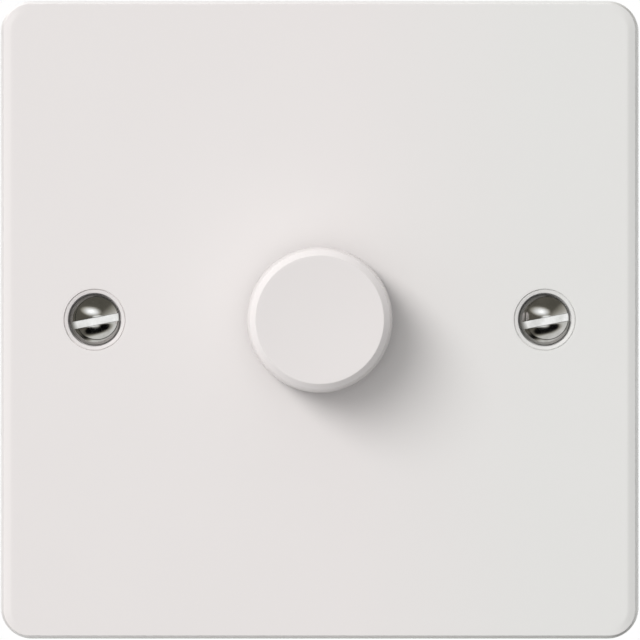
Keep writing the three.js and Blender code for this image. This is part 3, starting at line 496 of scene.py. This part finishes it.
def shoulderDrop(section, outline):
    # The height falls by tan(lean) * t^2 / 2c at t inside the shoulder while t is less than the curve c,
    # and by tan(lean) * (t - c / 2) beyond it, times the square of the outline's sideways share, so that
    # the top and bottom stay flat.
    along = np.roll(outline[0, :, :2], -1, axis=0) - np.roll(outline[0, :, :2], 1, axis=0)
    sideways = along[:, 1] ** 2 / (along**2).sum(1)
    inset = np.where(outline[..., 2] > ceiling + 0.01, section[:, :1], 99)
    depth = np.clip(plate["draft"] + plate["shoulder"] - inset, 0, plate["shoulder"])
    curve = plate["shoulderCurve"]
    fall = np.where(depth < curve, depth**2 / (2 * curve), depth - curve / 2)
    return math.tan(math.radians(plate["shoulderLean"])) * fall * sideways[None]


def frontPlate():
    # the section carried round the plate, then the openings, the ribs and the pins' marks, and flat faces
    # that join them in front and behind
    shell = Shell()
    section = plateSection()
    outline = carried(section, plateHigh[:2], plate["corner"], arcSteps=24, edgeSteps=24)
    outline[..., 2] -= shoulderDrop(section, outline) * outline[..., 2] / face
    walls = shell.grid(outline)
    shell.skin(walls)
    frontHoles, backHoles = [], []
    for name, x in (("well", screwX[0]), ("well", screwX[1]), ("shaftHole", 0)):
        rows = shell.grid(turned(openingOutline(name), plate["holeSides"], (x, 0)))
        shell.skin(rows)
        frontHoles.append(rows[0])
        backHoles.append(rows[-1])
    ribWay = [(-rib["foot"], ceiling), (0, ceiling), (rib["draft"], rib["rear"]), (0.5, rib["rear"])]
    ribHalf = (rib["halfWidth"], rib["halfLength"])
    for x in (-rib["x"], rib["x"]):
        way = softened(ribWay, rib["rounding"], 4)
        rows = shell.grid(carried(way, ribHalf, rib["corner"], (x, 0), arcSteps=4, edgeSteps=2))
        shell.skin(rows)
        shell.fill(rows[-1])
        backHoles.append(rows[0])
    radius, border, top = pinMark["radius"], pinMark["border"], ceiling + pinMark["depth"]
    pinWay = [(radius + border, ceiling), (radius, ceiling), (radius, top), (radius - border, top)]
    pinWay = softened(pinWay, pinMark["rounding"], 2)
    for spot in pinMark["spots"]:
        rows = shell.grid(turned(pinWay, 40, spot))
        shell.skin(rows)
        shell.fill(rows[-1])
        backHoles.append(rows[0])
    shell.fill(walls[0], frontHoles)
    shell.fill(walls[-1], backHoles)
    return shell.piece("plate_moulding", plateUrea, "dimmer", "white_urea", "front_plate")


frontPlate()
print("front plate made")


knob = {
    "faceRadius": 8.5,
    "dish": 0.25,  # how far its face is hollowed at the middle
    "shoulder": 9.27,  # radius where the slope round its face ends
    "chamfer": 0.82,  # depth of that slope
    "skirt": 1.4,  # thickness of the skirt at its foot
    "top": 1.8,  # thickness of the face
    "boss": 4.6,
    "bossRise": 1.0,  # the boss ends this much in front of the skirt
    "bore": 3.1,
    "flat": 1.6,
    "draft": 0.1,
    "rounding": (0.16, 0.14, 0.2, 0.15, 0.5, 0.4),  # of the corners from the face round to the boss
    "sides": 160,
}
knobLow, knobHigh = frameBox("knob")


def knobMoulding():
    # a turned cap; the bore's radius shrinks to the flat wherever the flat is nearer than the bore
    radius, rear, front = knobHigh[0], knobLow[2], knobHigh[2]
    under, foot = front - knob["top"], rear + knob["bossRise"]
    faceRadius, draft, wallRadius = knob["faceRadius"], knob["draft"], radius - knob["skirt"]
    across = np.linspace(0.4, faceRadius - 0.7, 12)
    dished = [(r, front - knob["dish"] * (1 - (r / faceRadius) ** 2)) for r in across]
    corners = [
        dished[-1],
        (faceRadius, front),
        (knob["shoulder"], front - knob["chamfer"]),
        (radius, rear),
        (wallRadius, rear),
        (wallRadius - draft, under),
        (knob["boss"] + draft, under),
        (knob["boss"], foot),
    ]
    section = np.concatenate([dished[:-1], softened(corners, knob["rounding"], 6)])
    shell = Shell()
    outside = shell.grid(turned(section, knob["sides"]))
    rows = turned([(knob["bore"], foot), (knob["bore"], under + 0.1), (0.6, under + 0.1)], knob["sides"])
    rows[:2, :, 1] = np.minimum(rows[:2, :, 1], knob["flat"])
    inside = shell.grid(rows)
    shell.skin(outside)
    shell.skin(np.concatenate([outside[-1:], inside]))
    shell.cap(outside[0])
    shell.cap(inside[-1])
    return shell.piece("knob_moulding", knobUrea, "knob", "knob_urea", "knob")


knobMoulding()
print("knob made")


screw = {
    "dome": 0.88,  # how far the dome rises above its rim
    "domeRadius": 2.82,
    "domeShift": (0.29, 0.22),  # how far the dome was struck off centre, to the right and up
    "slot": 1.0,
    "slotShift": -0.38,  # from the dome's middle
    "slotTurn": 11.0,  # how far the slot leans from level
    "slotDepth": 0.55,  # below the rim
    "slotEdge": 0.06,  # how far the worn edge of the slot reaches
    "groove": (0.08, 0.14),  # width and depth of the groove round the dome
    "ring": (3.32, 0.42),  # radius and drop where the sloping ring round the groove ends
    "rim": 0.5,
    "shank": 1.7,
    "pitch": 0.6,
    "threadDepth": 0.32,
    "tip": 0.95,  # radius of its end
    "rows": 60,
}


def screwRows():
    # level rows over the dome, from its top to its foot: y, drop below the dome or above the slot's floor,
    # and whether the row is in the slot; the spacing follows the sine, so that rows crowd at both ends
    radius, half = screw["domeRadius"], screw["slot"] / 2
    soft, shift = screw["slotEdge"], screw["slotShift"]
    steps = np.linspace(0, 1, screw["rows"] // 2)
    edges = [(0.35 * soft, 0.1 * soft, False), (0, 0.4 * soft, False), (0, soft, False), (0, soft, True)]
    edges += [(0, 0, True), (-0.08, 0, True)]
    sides = []
    for sign in (1, -1):
        reach = math.asin((half + soft + sign * shift) / radius)
        dome = radius * np.sin(reach + (math.pi / 2 - reach) * steps)
        rows = [(sign * y, 0.0, False) for y in dome[::-1]]
        sides.append(rows + [(shift + sign * (half + out), drop, inside) for out, drop, inside in edges])
    rows = np.array(sides[0] + [(shift, 0.0, True)] + sides[1][::-1])
    return rows[:, 0], rows[:, 1], rows[:, 2] > 0.5


class ScrewOutline:
    # The dome's outline, down its right side and up its left, and the circles that follow it further out.
    def __init__(self, y, drop, inSlot, shift):
        self.y = np.concatenate([y, y[::-1]])
        self.drop = np.concatenate([drop, drop[::-1]])
        self.inSlot = np.concatenate([inSlot, inSlot[::-1]])
        self.onRight = np.arange(2 * len(y)) < len(y)
        self.shift = shift

    def angles(self, radius, middle=0.0):
        # Angle above level on a circle whose centre is at that height: the slot's two edges keep their own
        # y, and the arcs between them are spread as they are on the dome.
        half = screw["slot"] / 2 + screw["slotEdge"]
        edges = np.array([screw["slotShift"] - half, screw["slotShift"] + half])
        onDome = np.arcsin(np.clip(self.y / screw["domeRadius"], -1, 1))
        foot, head = np.arcsin(edges / screw["domeRadius"])
        below, above = np.arcsin((edges + self.shift[1] - middle) / np.max(radius))
        quarter = math.pi / 2
        upper = above + (onDome - head) * (quarter - above) / (quarter - head)
        lower = below + (onDome - foot) * (quarter + below) / (quarter + foot)
        between = np.arcsin(np.clip((self.y + self.shift[1] - middle) / radius, -1, 1))
        angle = np.where(onDome > head, upper, np.where(onDome < foot, lower, between))
        return np.where(self.onRight, angle, math.pi - angle)

    def circle(self, radius, out, centre=(0.0, 0.0)):
        angle = self.angles(radius, centre[1])
        x, y = centre[0] + radius * np.cos(angle), centre[1] + radius * np.sin(angle)
        return np.stack([x, y, out + 0 * x], -1)


def screwHead(outline, top, headRadius):
    # The rings round the dome: radius, height, whether it is struck about the dome's own centre, and how
    # much painted shade darkens it. Where the slot crosses them they lie on its floor, as far out as the
    # cone lets it run.
    domeRadius, floor, cone = screw["domeRadius"], top - screw["slotDepth"], top - screw["rim"]
    slotEnd = headRadius - (cone - floor)
    wide, deep = screw["groove"]
    ringRadius, ringDrop = screw["ring"]
    rings = (
        (domeRadius, top - deep, True, 0.8),
        (domeRadius + wide * 0.6, top - deep, True, 1.0),
        (domeRadius + wide, top - 0.06, True, 0.7),
        (domeRadius + wide + 0.05, top - 0.09, True, 0.1),
        (ringRadius, top - ringDrop, False, 0.0),
        (headRadius, top - ringDrop - 0.05, False, 0.9),
        (headRadius, cone, False, 1.0),
        (slotEnd, floor, False, 1.0),
    )
    rows, painted_shade = [], []
    for radius, out, struck, shade_level in rings:
        reach = np.where(outline.inSlot, domeRadius if struck else slotEnd, radius)
        height = np.where(outline.inSlot, floor, out - outline.drop)
        rows.append(outline.circle(reach, height, outline.shift * struck))
        # painted shade where the slot crosses: a trace under the dome, heavy on the floor beyond it
        painted_shade.append(np.where(outline.inSlot, 0.1 if struck else 0.9, shade_level))
    return rows, painted_shade, slotEnd


def screwShank(angle, under, tip):
    # The thread's radius falls from its crest to its root as the height and the angle run through each
    # pitch, and its depth grows from nothing over the first 0.8 mm.
    shank, pitch = screw["shank"], screw["pitch"]
    threadFrom, threadTo = under - 0.5, tip + 0.3
    out = np.linspace(threadFrom, threadTo, int((threadFrom - threadTo) / pitch * 8))[:, None]
    wave = np.abs(((out / pitch - angle[None] / turn) % 1) * 2 - 1)  # 0 at the crest, 1 at the root
    grown = np.clip((threadFrom - out) / 0.8, 0, 1)
    radius = shank - screw["threadDepth"] * np.clip(wave * 1.25 - 0.12, 0, 1) * grown
    radius = np.minimum(radius, shank - 0.45 + np.maximum(out - threadTo, 0) / 1.1)
    return np.stack([radius * np.cos(angle), radius * np.sin(angle), out + 0 * radius], -1)


def fixingScrew(side):
    # The dome is a grid of level rows, y, and a share s of each row's width, so that rows run along the
    # slot: x = s * sqrt(domeRadius^2 - y^2), at the dome's height or the slot's floor. The rest follows
    # its outline over the groove and the ring, down the rim, the cone and the thread to the tip.
    name = "fixing_screw_" + side
    low, high = frameBox(name)
    headRadius = (high[0] - low[0]) / 2
    domeRadius, dome, shank, tip = screw["domeRadius"], screw["dome"], screw["shank"], low[2]
    top = high[2] - dome  # height of the rim
    ball = (domeRadius**2 + dome**2) / (2 * dome)
    floor, cone = top - screw["slotDepth"], top - screw["rim"]
    lean = math.radians(screw["slotTurn"])
    cos, sin = math.cos(lean), math.sin(lean)
    leaning = np.array([[cos, sin, 0], [-sin, cos, 0], [0, 0, 1]])
    shift = leaning[:2, :2] @ np.array(screw["domeShift"])
    y, drop, inSlot = screwRows()
    share = np.sin(np.linspace(-0.5, 0.5, 49) * math.pi)
    x = share[None] * np.sqrt(np.maximum(domeRadius**2 - y[:, None] ** 2, 0))
    height = top + dome - ball + np.sqrt(ball**2 - x**2 - y[:, None] ** 2) - drop[:, None]
    z = np.where(inSlot[:, None], floor + drop[:, None], height)
    surface = np.stack([x + shift[0], y[:, None] + shift[1] + 0 * x, z], -1)
    outline = ScrewOutline(y, drop, inSlot, shift)
    rows, painted_shade, slotEnd = screwHead(outline, top, headRadius)
    angle = outline.angles(np.full(len(outline.y), headRadius))
    under = cone - (headRadius - shank)

    def collar(*ways):
        return [np.stack([r * np.cos(angle), r * np.sin(angle), h + 0 * angle], -1) for r, h in ways]

    rows += collar((slotEnd - 0.03, floor - 0.03), (shank + 0.25, under + 0.25), (shank, under - 0.1))
    rows += list(screwShank(angle, under, tip))
    rows += collar((screw["tip"] + 0.15, tip + 0.08), (screw["tip"], tip))
    below = np.stack(rows)
    # painted shade on the rings round the dome, and full painted shade on the two rows under the head
    shade_level = np.zeros(below.shape[:2])
    shade_level[: len(painted_shade)] = painted_shade
    shade_level[len(painted_shade) : len(painted_shade) + 2] = 1.0
    place = np.array([(low[0] + high[0]) / 2, 0, 0])
    shell = Shell()
    # painted shade along the slot's edges, a shadow line on the dome there, and a trace on the slot's floor
    slotShade = np.where(drop > 0, 0.8, np.where(inSlot, 0.05, 0.0))
    shell.skin(shell.grid(surface @ leaning + place, slotShade[:, None] + 0 * x), closed=False)
    around = shell.grid(below @ leaning + place, shade_level)
    shell.skin(around)
    shell.cap(around[-1])
    # the screw's points carry their painted shade, for the plating to read
    shell.piece("screw_" + side, ringedNickel, name, "plated_steel", name, sharp=28.0, markName="painted_shade")


for side in ("left", "right"):
    fixingScrew(side)
print("fixing screws made")


spring = {
    "radius": 2.45,
    "wire": 0.17,  # radius
    "turns": 4.5,
    "flatTurns": 0.75,  # at each end
    "fixedEnd": -14.9,  # distance out of the wall of the end that stays still
    "travel": 1.5,
}


def returnSpring():
    # a helix: radius times the cos and sin of the angle round its axis, and a height that stays level over
    # the flat part at each end and climbs between them, a little faster at the middle
    low, high = frameBox("return_spring")
    wire, turns, flat = spring["wire"], spring["turns"], spring["flatTurns"]
    along = np.linspace(0, turns, int(turns * 40))
    share = np.clip((along - flat) / (turns - 2 * flat), 0, 1)
    share = share * share * (3 - 2 * share) * 0.3 + share * 0.7
    height = low[2] + wire + (high[2] - low[2] - 2 * wire) * share
    x, y = spring["radius"] * np.cos(along * turn), spring["radius"] * np.sin(along * turn)
    path = np.stack([x, y, height], -1)
    shell = Shell()
    shell.skin(shell.grid(tube(path, wire, 10)))
    piece = shell.piece("spring_wire", springWire, "dimmer", "spring_steel", "return_spring")
    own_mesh(piece)


returnSpring()
print("return spring made")


winding = {
    "turns": 21,
    "wire": 0.33,  # radius
    "gap": 34.0,  # left bare on each side of the legs
    "section": 3.0,  # the core's, from its bore to its outside
    "square": 0.4,  # 1 would wind it round a circle, and less squares it up
    "legs": 3.4,  # how far each leg stands from the middle
}


def squared(value):
    return np.sign(value) * np.abs(value) ** winding["square"]


def chokeWinding():
    # One layer of wire round the ring core: the angle u round the core runs with the turns, and each turn
    # follows the core's section, r = middle + half * sign(cos v) |cos v|^square and the same for its width.
    core, coil = frameBox("choke_core"), frameBox("choke_winding")
    wire = winding["wire"]
    centre = (core[0] + core[1]) / 2
    outer = (core[1][1] - core[0][1]) / 2
    inner, halfWide = outer - winding["section"], (core[1][0] - core[0][0]) / 2
    gap, clear = winding["gap"], wire + 0.04
    along = np.linspace(0, 1, winding["turns"] * 36)
    u = np.radians(gap + (360 - 2 * gap) * along)
    v = along * winding["turns"] * turn
    r = (inner + outer) / 2 + ((outer - inner) / 2 + clear) * squared(np.cos(v))
    a = (halfWide + clear) * squared(np.sin(v))
    path = np.stack([centre[0] + a, centre[1] + r * np.sin(u), centre[2] - r * np.cos(u)], -1)
    shell = Shell()
    shell.skin(shell.grid(tube(path, wire, 8)))
    for end, sign in ((path[0], 1), (path[-1], -1)):
        side = centre[1] + sign * winding["legs"]
        foot = np.array([centre[0], side, coil[0][2]])
        knee = np.array([centre[0], side, end[2] - 1.2])
        share = np.linspace(0, 1, 10)[:, None]
        down = knee * 0.6 + foot * 0.4
        bend = (1 - share) ** 2 * end + 2 * share * (1 - share) * knee + share**2 * down
        shell.skin(shell.grid(tube(np.concatenate([bend, foot[None]]), wire, 8)))
    return shell.piece("winding_wire", windingEnamel, "dimmer", "copper_wire", "choke_winding")


chokeWinding()
print("choke winding made")


fuseParts = {
    "cap": 4.8,  # length of each cap
    "capEnd": 0.35,  # thickness of its end
    "capWall": 0.2,
    "capRounding": (0.35, 0.08, 0.05, 0.1),
    "wall": 0.45,  # of the glass
    "glassShort": 0.4,  # how far the glass stops short of each end
    "filament": 0.08,  # radius
}


def fuseTube():
    # glass tube, two turned caps and the wire between them, all along the fuse's own axis, which is upright
    low, high = frameBox("fuse")
    centre, half = (low + high) / 2, (high[1] - low[1]) / 2
    outer = (high[0] - low[0]) / 2
    glass = outer - fuseParts["capWall"] - 0.02

    def upright(profile, sides=48):
        x, out, y = np.moveaxis(turned(profile, sides), -1, 0)
        return np.stack([centre[0] + x, centre[1] + y, centre[2] + out], -1)

    shell = Shell()
    bore, end = glass - fuseParts["wall"], half - fuseParts["glassShort"]
    rows = shell.grid(upright([(bore, -end), (glass, -end), (glass, end), (bore, end)]))
    shell.skin(np.concatenate([rows, rows[:1]]))
    shell.piece("fuse_glass", tubeGlass, "dimmer", "fuse_glass", "fuse")
    caps = Shell()
    for sign in (1, -1):
        inner = outer - fuseParts["capWall"]
        mouth, back = half - fuseParts["cap"], half - fuseParts["capEnd"]
        corners = [(0.3, half), (outer, half), (outer, mouth), (inner, mouth), (inner, back), (0.3, back)]
        line = softened(corners, fuseParts["capRounding"], 4)
        rows = caps.grid(upright([(radius, sign * out) for radius, out in line]))
        caps.skin(rows)
        caps.cap(rows[0])
        caps.cap(rows[-1])
    caps.piece("fuse_caps", plainNickel, "dimmer", "plated_steel")
    wire = Shell()
    middle = np.linspace(0.36 - half, half - 0.36, 12)[:, None] * [[0, 1, 0]] + centre
    wire.skin(wire.grid(tube(middle, fuseParts["filament"], 8)))
    wire.piece("fuse_wire", plainNickel, "dimmer", "plated_steel")


fuseTube()
print("fuse made")


# Finish of each of the frame's own pieces, and how much its edges are rounded.
finishes = {
    "mounting_yoke": (sheetSteel, 0.12),
    "module_case": (blackNylon, 0.25),
    "module_cover": (blackNylon, 0.2),
    "pot_bush": (castZinc, 0.12),
    "pot_housing": (bluePolyester, 0.15),
    "control_shaft": (rolledAluminium, 0.08),
    "wiper_rotor": (whiteNylon, 0.1),
    "wiper_contact": (bronzeStrip, 0.04),
    "resistance_track": (phenolicPaper, 0.05),
    "switch_housing": (blackNylon, 0.15),
    "switch_plunger": (whiteNylon, 0.1),
    "contact_rocker": (bronzeStrip, 0.04),
    "circuit_board": (solderResist, 0.06),
    "choke_core": (powderCore, 0.1),
    "suppression_capacitor": (filmBox, 0.15),
    "timing_capacitor": (filmBox, 0.12),
    "triac": (mouldedEpoxy, 0.06),
    "heat_sink": (rolledAluminium, 0.1),
    "resistor_1": (resistorLacquer, 0.05),
    "resistor_2": (resistorLacquer, 0.05),
    "diac": (blueLacquer, 0.05),
    "earth_block": (sawnBrass, 0.12),
    "earth_screw": (plainNickel, 0.08),
    "bush_nut": (plainNickel, 0.08),
    "lock_washer": (plainNickel, 0.04),
    "triac_screw": (plainNickel, 0.06),
    "rocker_pin": (springWire, 0.04),
    "knob_clip": (springWire, 0.04),
    "shaft_circlip": (springWire, 0.04),
}
for number in (1, 2, 3):
    finishes[f"terminal_block_{number}"] = (sawnBrass, 0.12)
    finishes[f"terminal_screw_{number}"] = (plainNickel, 0.08)
for number in (1, 2, 3, 4):
    finishes[f"cover_screw_{number}"] = (plainNickel, 0.06)
for number in (1, 2):
    finishes[f"fixed_contact_{number}"] = (sawnBrass, 0.04)
    finishes[f"fuse_clip_{number}"] = (bronzeStrip, 0.04)
for side in ("left", "right"):
    finishes[f"screw_retainer_{side}"] = (whiteNylon, 0.06)


def finishNode(name, material, rounding):
    # welds the node's triangles, rounds its edges a little and gives it its finish
    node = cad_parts[name]
    mesh = node.data
    custom = mesh.attributes.get("custom_normal")
    if custom:
        mesh.attributes.remove(custom)
    mesh.polygons.foreach_set("use_smooth", np.ones(len(mesh.polygons), bool))
    mesh.materials.clear()
    mesh.materials.append(material)
    weld = node.modifiers.new("weld", "WELD")
    weld.merge_threshold = 1e-6
    if rounding:
        bevel = node.modifiers.new("soft edges", "BEVEL")
        bevel.width, bevel.segments = rounding * mm, 2
        bevel.limit_method, bevel.angle_limit = "ANGLE", math.radians(32)
        bevel.harden_normals = True


for name, (material, rounding) in finishes.items():
    finishNode(name, material, rounding)
print("frame nodes finished")


studio = {
    "floorDrop": 100.0,  # below the middle of the plate
    "floorReach": 1500.0,  # to each side and to the front
    "floorFar": 1100.0,  # how far it runs behind the wall's plane
    "keyTilt": 35.0,  # degrees between the key light and straight out of the plate
    "keyRise": 39.0,  # degrees that it stands above level on the left, seen from the front
    "keyDistance": 6000.0,
    "keyLong": 5000.0,
    "keyAcross": 2000.0,
    "keyPower": 206.0,
    "keyColour": "#FFFDFC",
    # weaker lamps: name, place and size in metres, power; all stand behind the plate, so that they light
    # only its back and what is proud of its face
    "lamps": (
        ("sideLight", (-1.85, 0.44, 1.51), 1.2, 9.0),
        ("leftLight", (-0.87, 0.12, -0.38), 0.2, 1.5),
        ("topLight", (0.30, 0.12, 0.95), 0.2, 2.0),
        ("rearLight", (-1.2, 1.9, 1.3), 1.2, 10.0),
    ),
    "ambient": 0.45,  # mean level of the room
    "ambientLean": 0.4,  # how much more of it comes from the key light's side
    "ambientTilt": 72.0,  # from straight out of the plate to the middle of that side
    "ceilingTilt": (-0.9, 0.0, 1.0),  # the way in which reflections grow darker
    "ceiling": (-0.7, 0.12, 0.85, 0.12),  # where that starts and ends, and the two levels
    # What shiny parts see: where each oval patch stands from straight ahead, its turn in radians, its half
    # size, how bright it is, and the share of it that is even before it fades.
    "patches": (
        ((0.0, 0.0, 0.0), 0.0, (0.24, 100.0, 0.13), 1.42, 0.8),
        ((-0.28, 0.0, 0.34), 0.1, (0.46, 100.0, 0.22), 1.8, 0.2),
        ((0.02, 0.0, -0.5), -0.24, (0.68, 100.0, 0.27), 0.0, 0.85),
        ((-0.2, 0.0, -0.34), 0.1, (0.34, 100.0, 0.13), 1.4, 0.6),
    ),
}


def keyDirection(tilt):
    # out of the plate, leaning by tilt towards the upper left
    tilt, rise = math.radians(tilt), math.radians(studio["keyRise"])
    return Vector((-math.sin(tilt) * math.cos(rise), -math.cos(tilt), math.sin(tilt) * math.sin(rise)))


def makeFloor():
    # a plain sheet of card, which ends before it would rise into the camera's view
    reach, far, drop = studio["floorReach"] * mm, studio["floorFar"] * mm, -studio["floorDrop"] * mm
    corners = [(-reach, -reach, drop), (reach, -reach, drop), (reach, far, drop), (-reach, far, drop)]
    mesh = bpy.data.meshes.new("floor")
    mesh.from_pydata(corners, [], [(0, 1, 2, 3)])
    floor = bpy.data.objects.new("floor", mesh)
    bpy.context.scene.collection.objects.link(floor)
    # the room and the lamps alone light the object, and a lamp below the card shines through it
    floor.visible_diffuse = floor.visible_glossy = floor.visible_shadow = False
    # Matt card: a white that is very slightly cloudy.
    card, tree, shader, place = startMaterial("pale card", Roughness=0.9)
    noise = addNode(tree, "TexNoise", {"Scale": perMetre(40), "Detail": 4.0}, {"Vector": place})
    tone = mixColours(tree, noise.outputs["Fac"], "#F4F4F3", "#F0F0EF")
    tree.links.new(tone, shader.inputs["Base Color"])
    mesh.materials.append(card)


def makeLamp(name, place, along, size, power):
    # an oval soft lamp that faces the plate, with its long side along the given direction
    data = bpy.data.lights.new(name, "AREA")
    data.shape = "ELLIPSE"
    data.size, data.size_y = size
    data.energy, data.color = power, linear(studio["keyColour"])[:3]
    light = bpy.data.objects.new(name, data)
    light.location = place
    outward = place.normalized()
    along = (along - along.dot(outward) * outward).normalized()
    light.rotation_mode = "QUATERNION"
    light.rotation_quaternion = Matrix((along, outward.cross(along), outward)).transposed().to_quaternion()
    light.visible_camera = light.visible_glossy = False
    bpy.context.scene.collection.objects.link(light)


def makeLamps():
    tilt = studio["keyTilt"]
    size = (studio["keyLong"] * mm, studio["keyAcross"] * mm)
    makeLamp(
        "keyLight",
        keyDirection(tilt) * studio["keyDistance"] * mm,
        keyDirection(tilt + 10) - keyDirection(tilt),
        size,
        studio["keyPower"],
    )
    for name, place, size, power in studio["lamps"]:
        makeLamp(name, Vector(place), Vector((0, 1, 0)), (size, size), power)


def makeWorld():
    # White behind the object. Soft light comes from an even pale room, brighter towards the upper left.
    # Reflections see a dark ceiling over a bright bench, a bright patch straight ahead, the key light as a
    # soft oval, and below them a dark bar, as a camera on its stand would leave.
    world = bpy.data.worlds.new("studio")
    world.use_nodes = True
    bpy.context.scene.world = world
    tree = world.node_tree
    tree.nodes.clear()
    rays = addNode(tree, "LightPath")
    direction = addNode(tree, "TexCoord").outputs["Generated"]
    bright = {1: keyDirection(studio["ambientTilt"])}
    facing = addNode(tree, "VectorMath", bright, {0: direction}, operation="DOT_PRODUCT").outputs["Value"]
    spread = {
        "From Min": -1.0,
        "From Max": 1.0,
        "To Min": studio["ambient"] * (1 - studio["ambientLean"]),
        "To Max": studio["ambient"] * (1 + studio["ambientLean"]),
    }
    roomLevel = addNode(tree, "MapRange", spread, {"Value": facing}).outputs["Result"]
    tilted = {1: studio["ceilingTilt"]}
    upward = addNode(tree, "VectorMath", tilted, {0: direction}, operation="DOT_PRODUCT").outputs["Value"]
    darkening = dict(zip(("From Min", "From Max", "To Min", "To Max"), studio["ceiling"]))
    level = addNode(tree, "MapRange", darkening, {"Value": upward}).outputs["Result"]
    for place, lean, size, shade, even in studio["patches"]:
        settings = {"Location": place, "Rotation": (0.0, lean, 0.0), "Scale": size}
        local = addNode(tree, "Mapping", settings, {"Vector": direction}, vector_type="TEXTURE").outputs[0]
        away = addNode(tree, "VectorMath", None, {0: local}, operation="LENGTH").outputs["Value"]
        edge = {"From Min": even, "From Max": 1.15, "To Min": 1.0, "To Max": 0.0}
        share = addNode(tree, "MapRange", edge, {"Value": away}).outputs["Result"]
        level = addNode(tree, "Mix", {3: shade}, {0: share, 2: level}).outputs[0]
    tint = mixColours(tree, level, "#FFF8E2", "#FCFEFF")
    mirrored = addNode(tree, "Background", None, {"Color": tint, "Strength": level})
    soft = addNode(tree, "Background", {"Color": (1.0, 1.0, 1.0, 1.0)}, {"Strength": roomLevel})
    white = addNode(tree, "Background", {"Color": (1.0, 1.0, 1.0, 1.0), "Strength": 1.0})
    glossy = {0: rays.outputs["Is Glossy Ray"], 1: soft.outputs[0], 2: mirrored.outputs[0]}
    lit = addNode(tree, "MixShader", None, glossy)
    seen = {0: rays.outputs["Is Camera Ray"], 1: lit.outputs[0], 2: white.outputs[0]}
    background = addNode(tree, "MixShader", None, seen)
    addNode(tree, "OutputWorld", None, {"Surface": background.outputs[0]})


makeFloor()
makeLamps()
makeWorld()
bpy.context.scene.view_settings.view_transform = "Standard"
bpy.context.scene.view_settings.look = "None"
print("floor and light set")
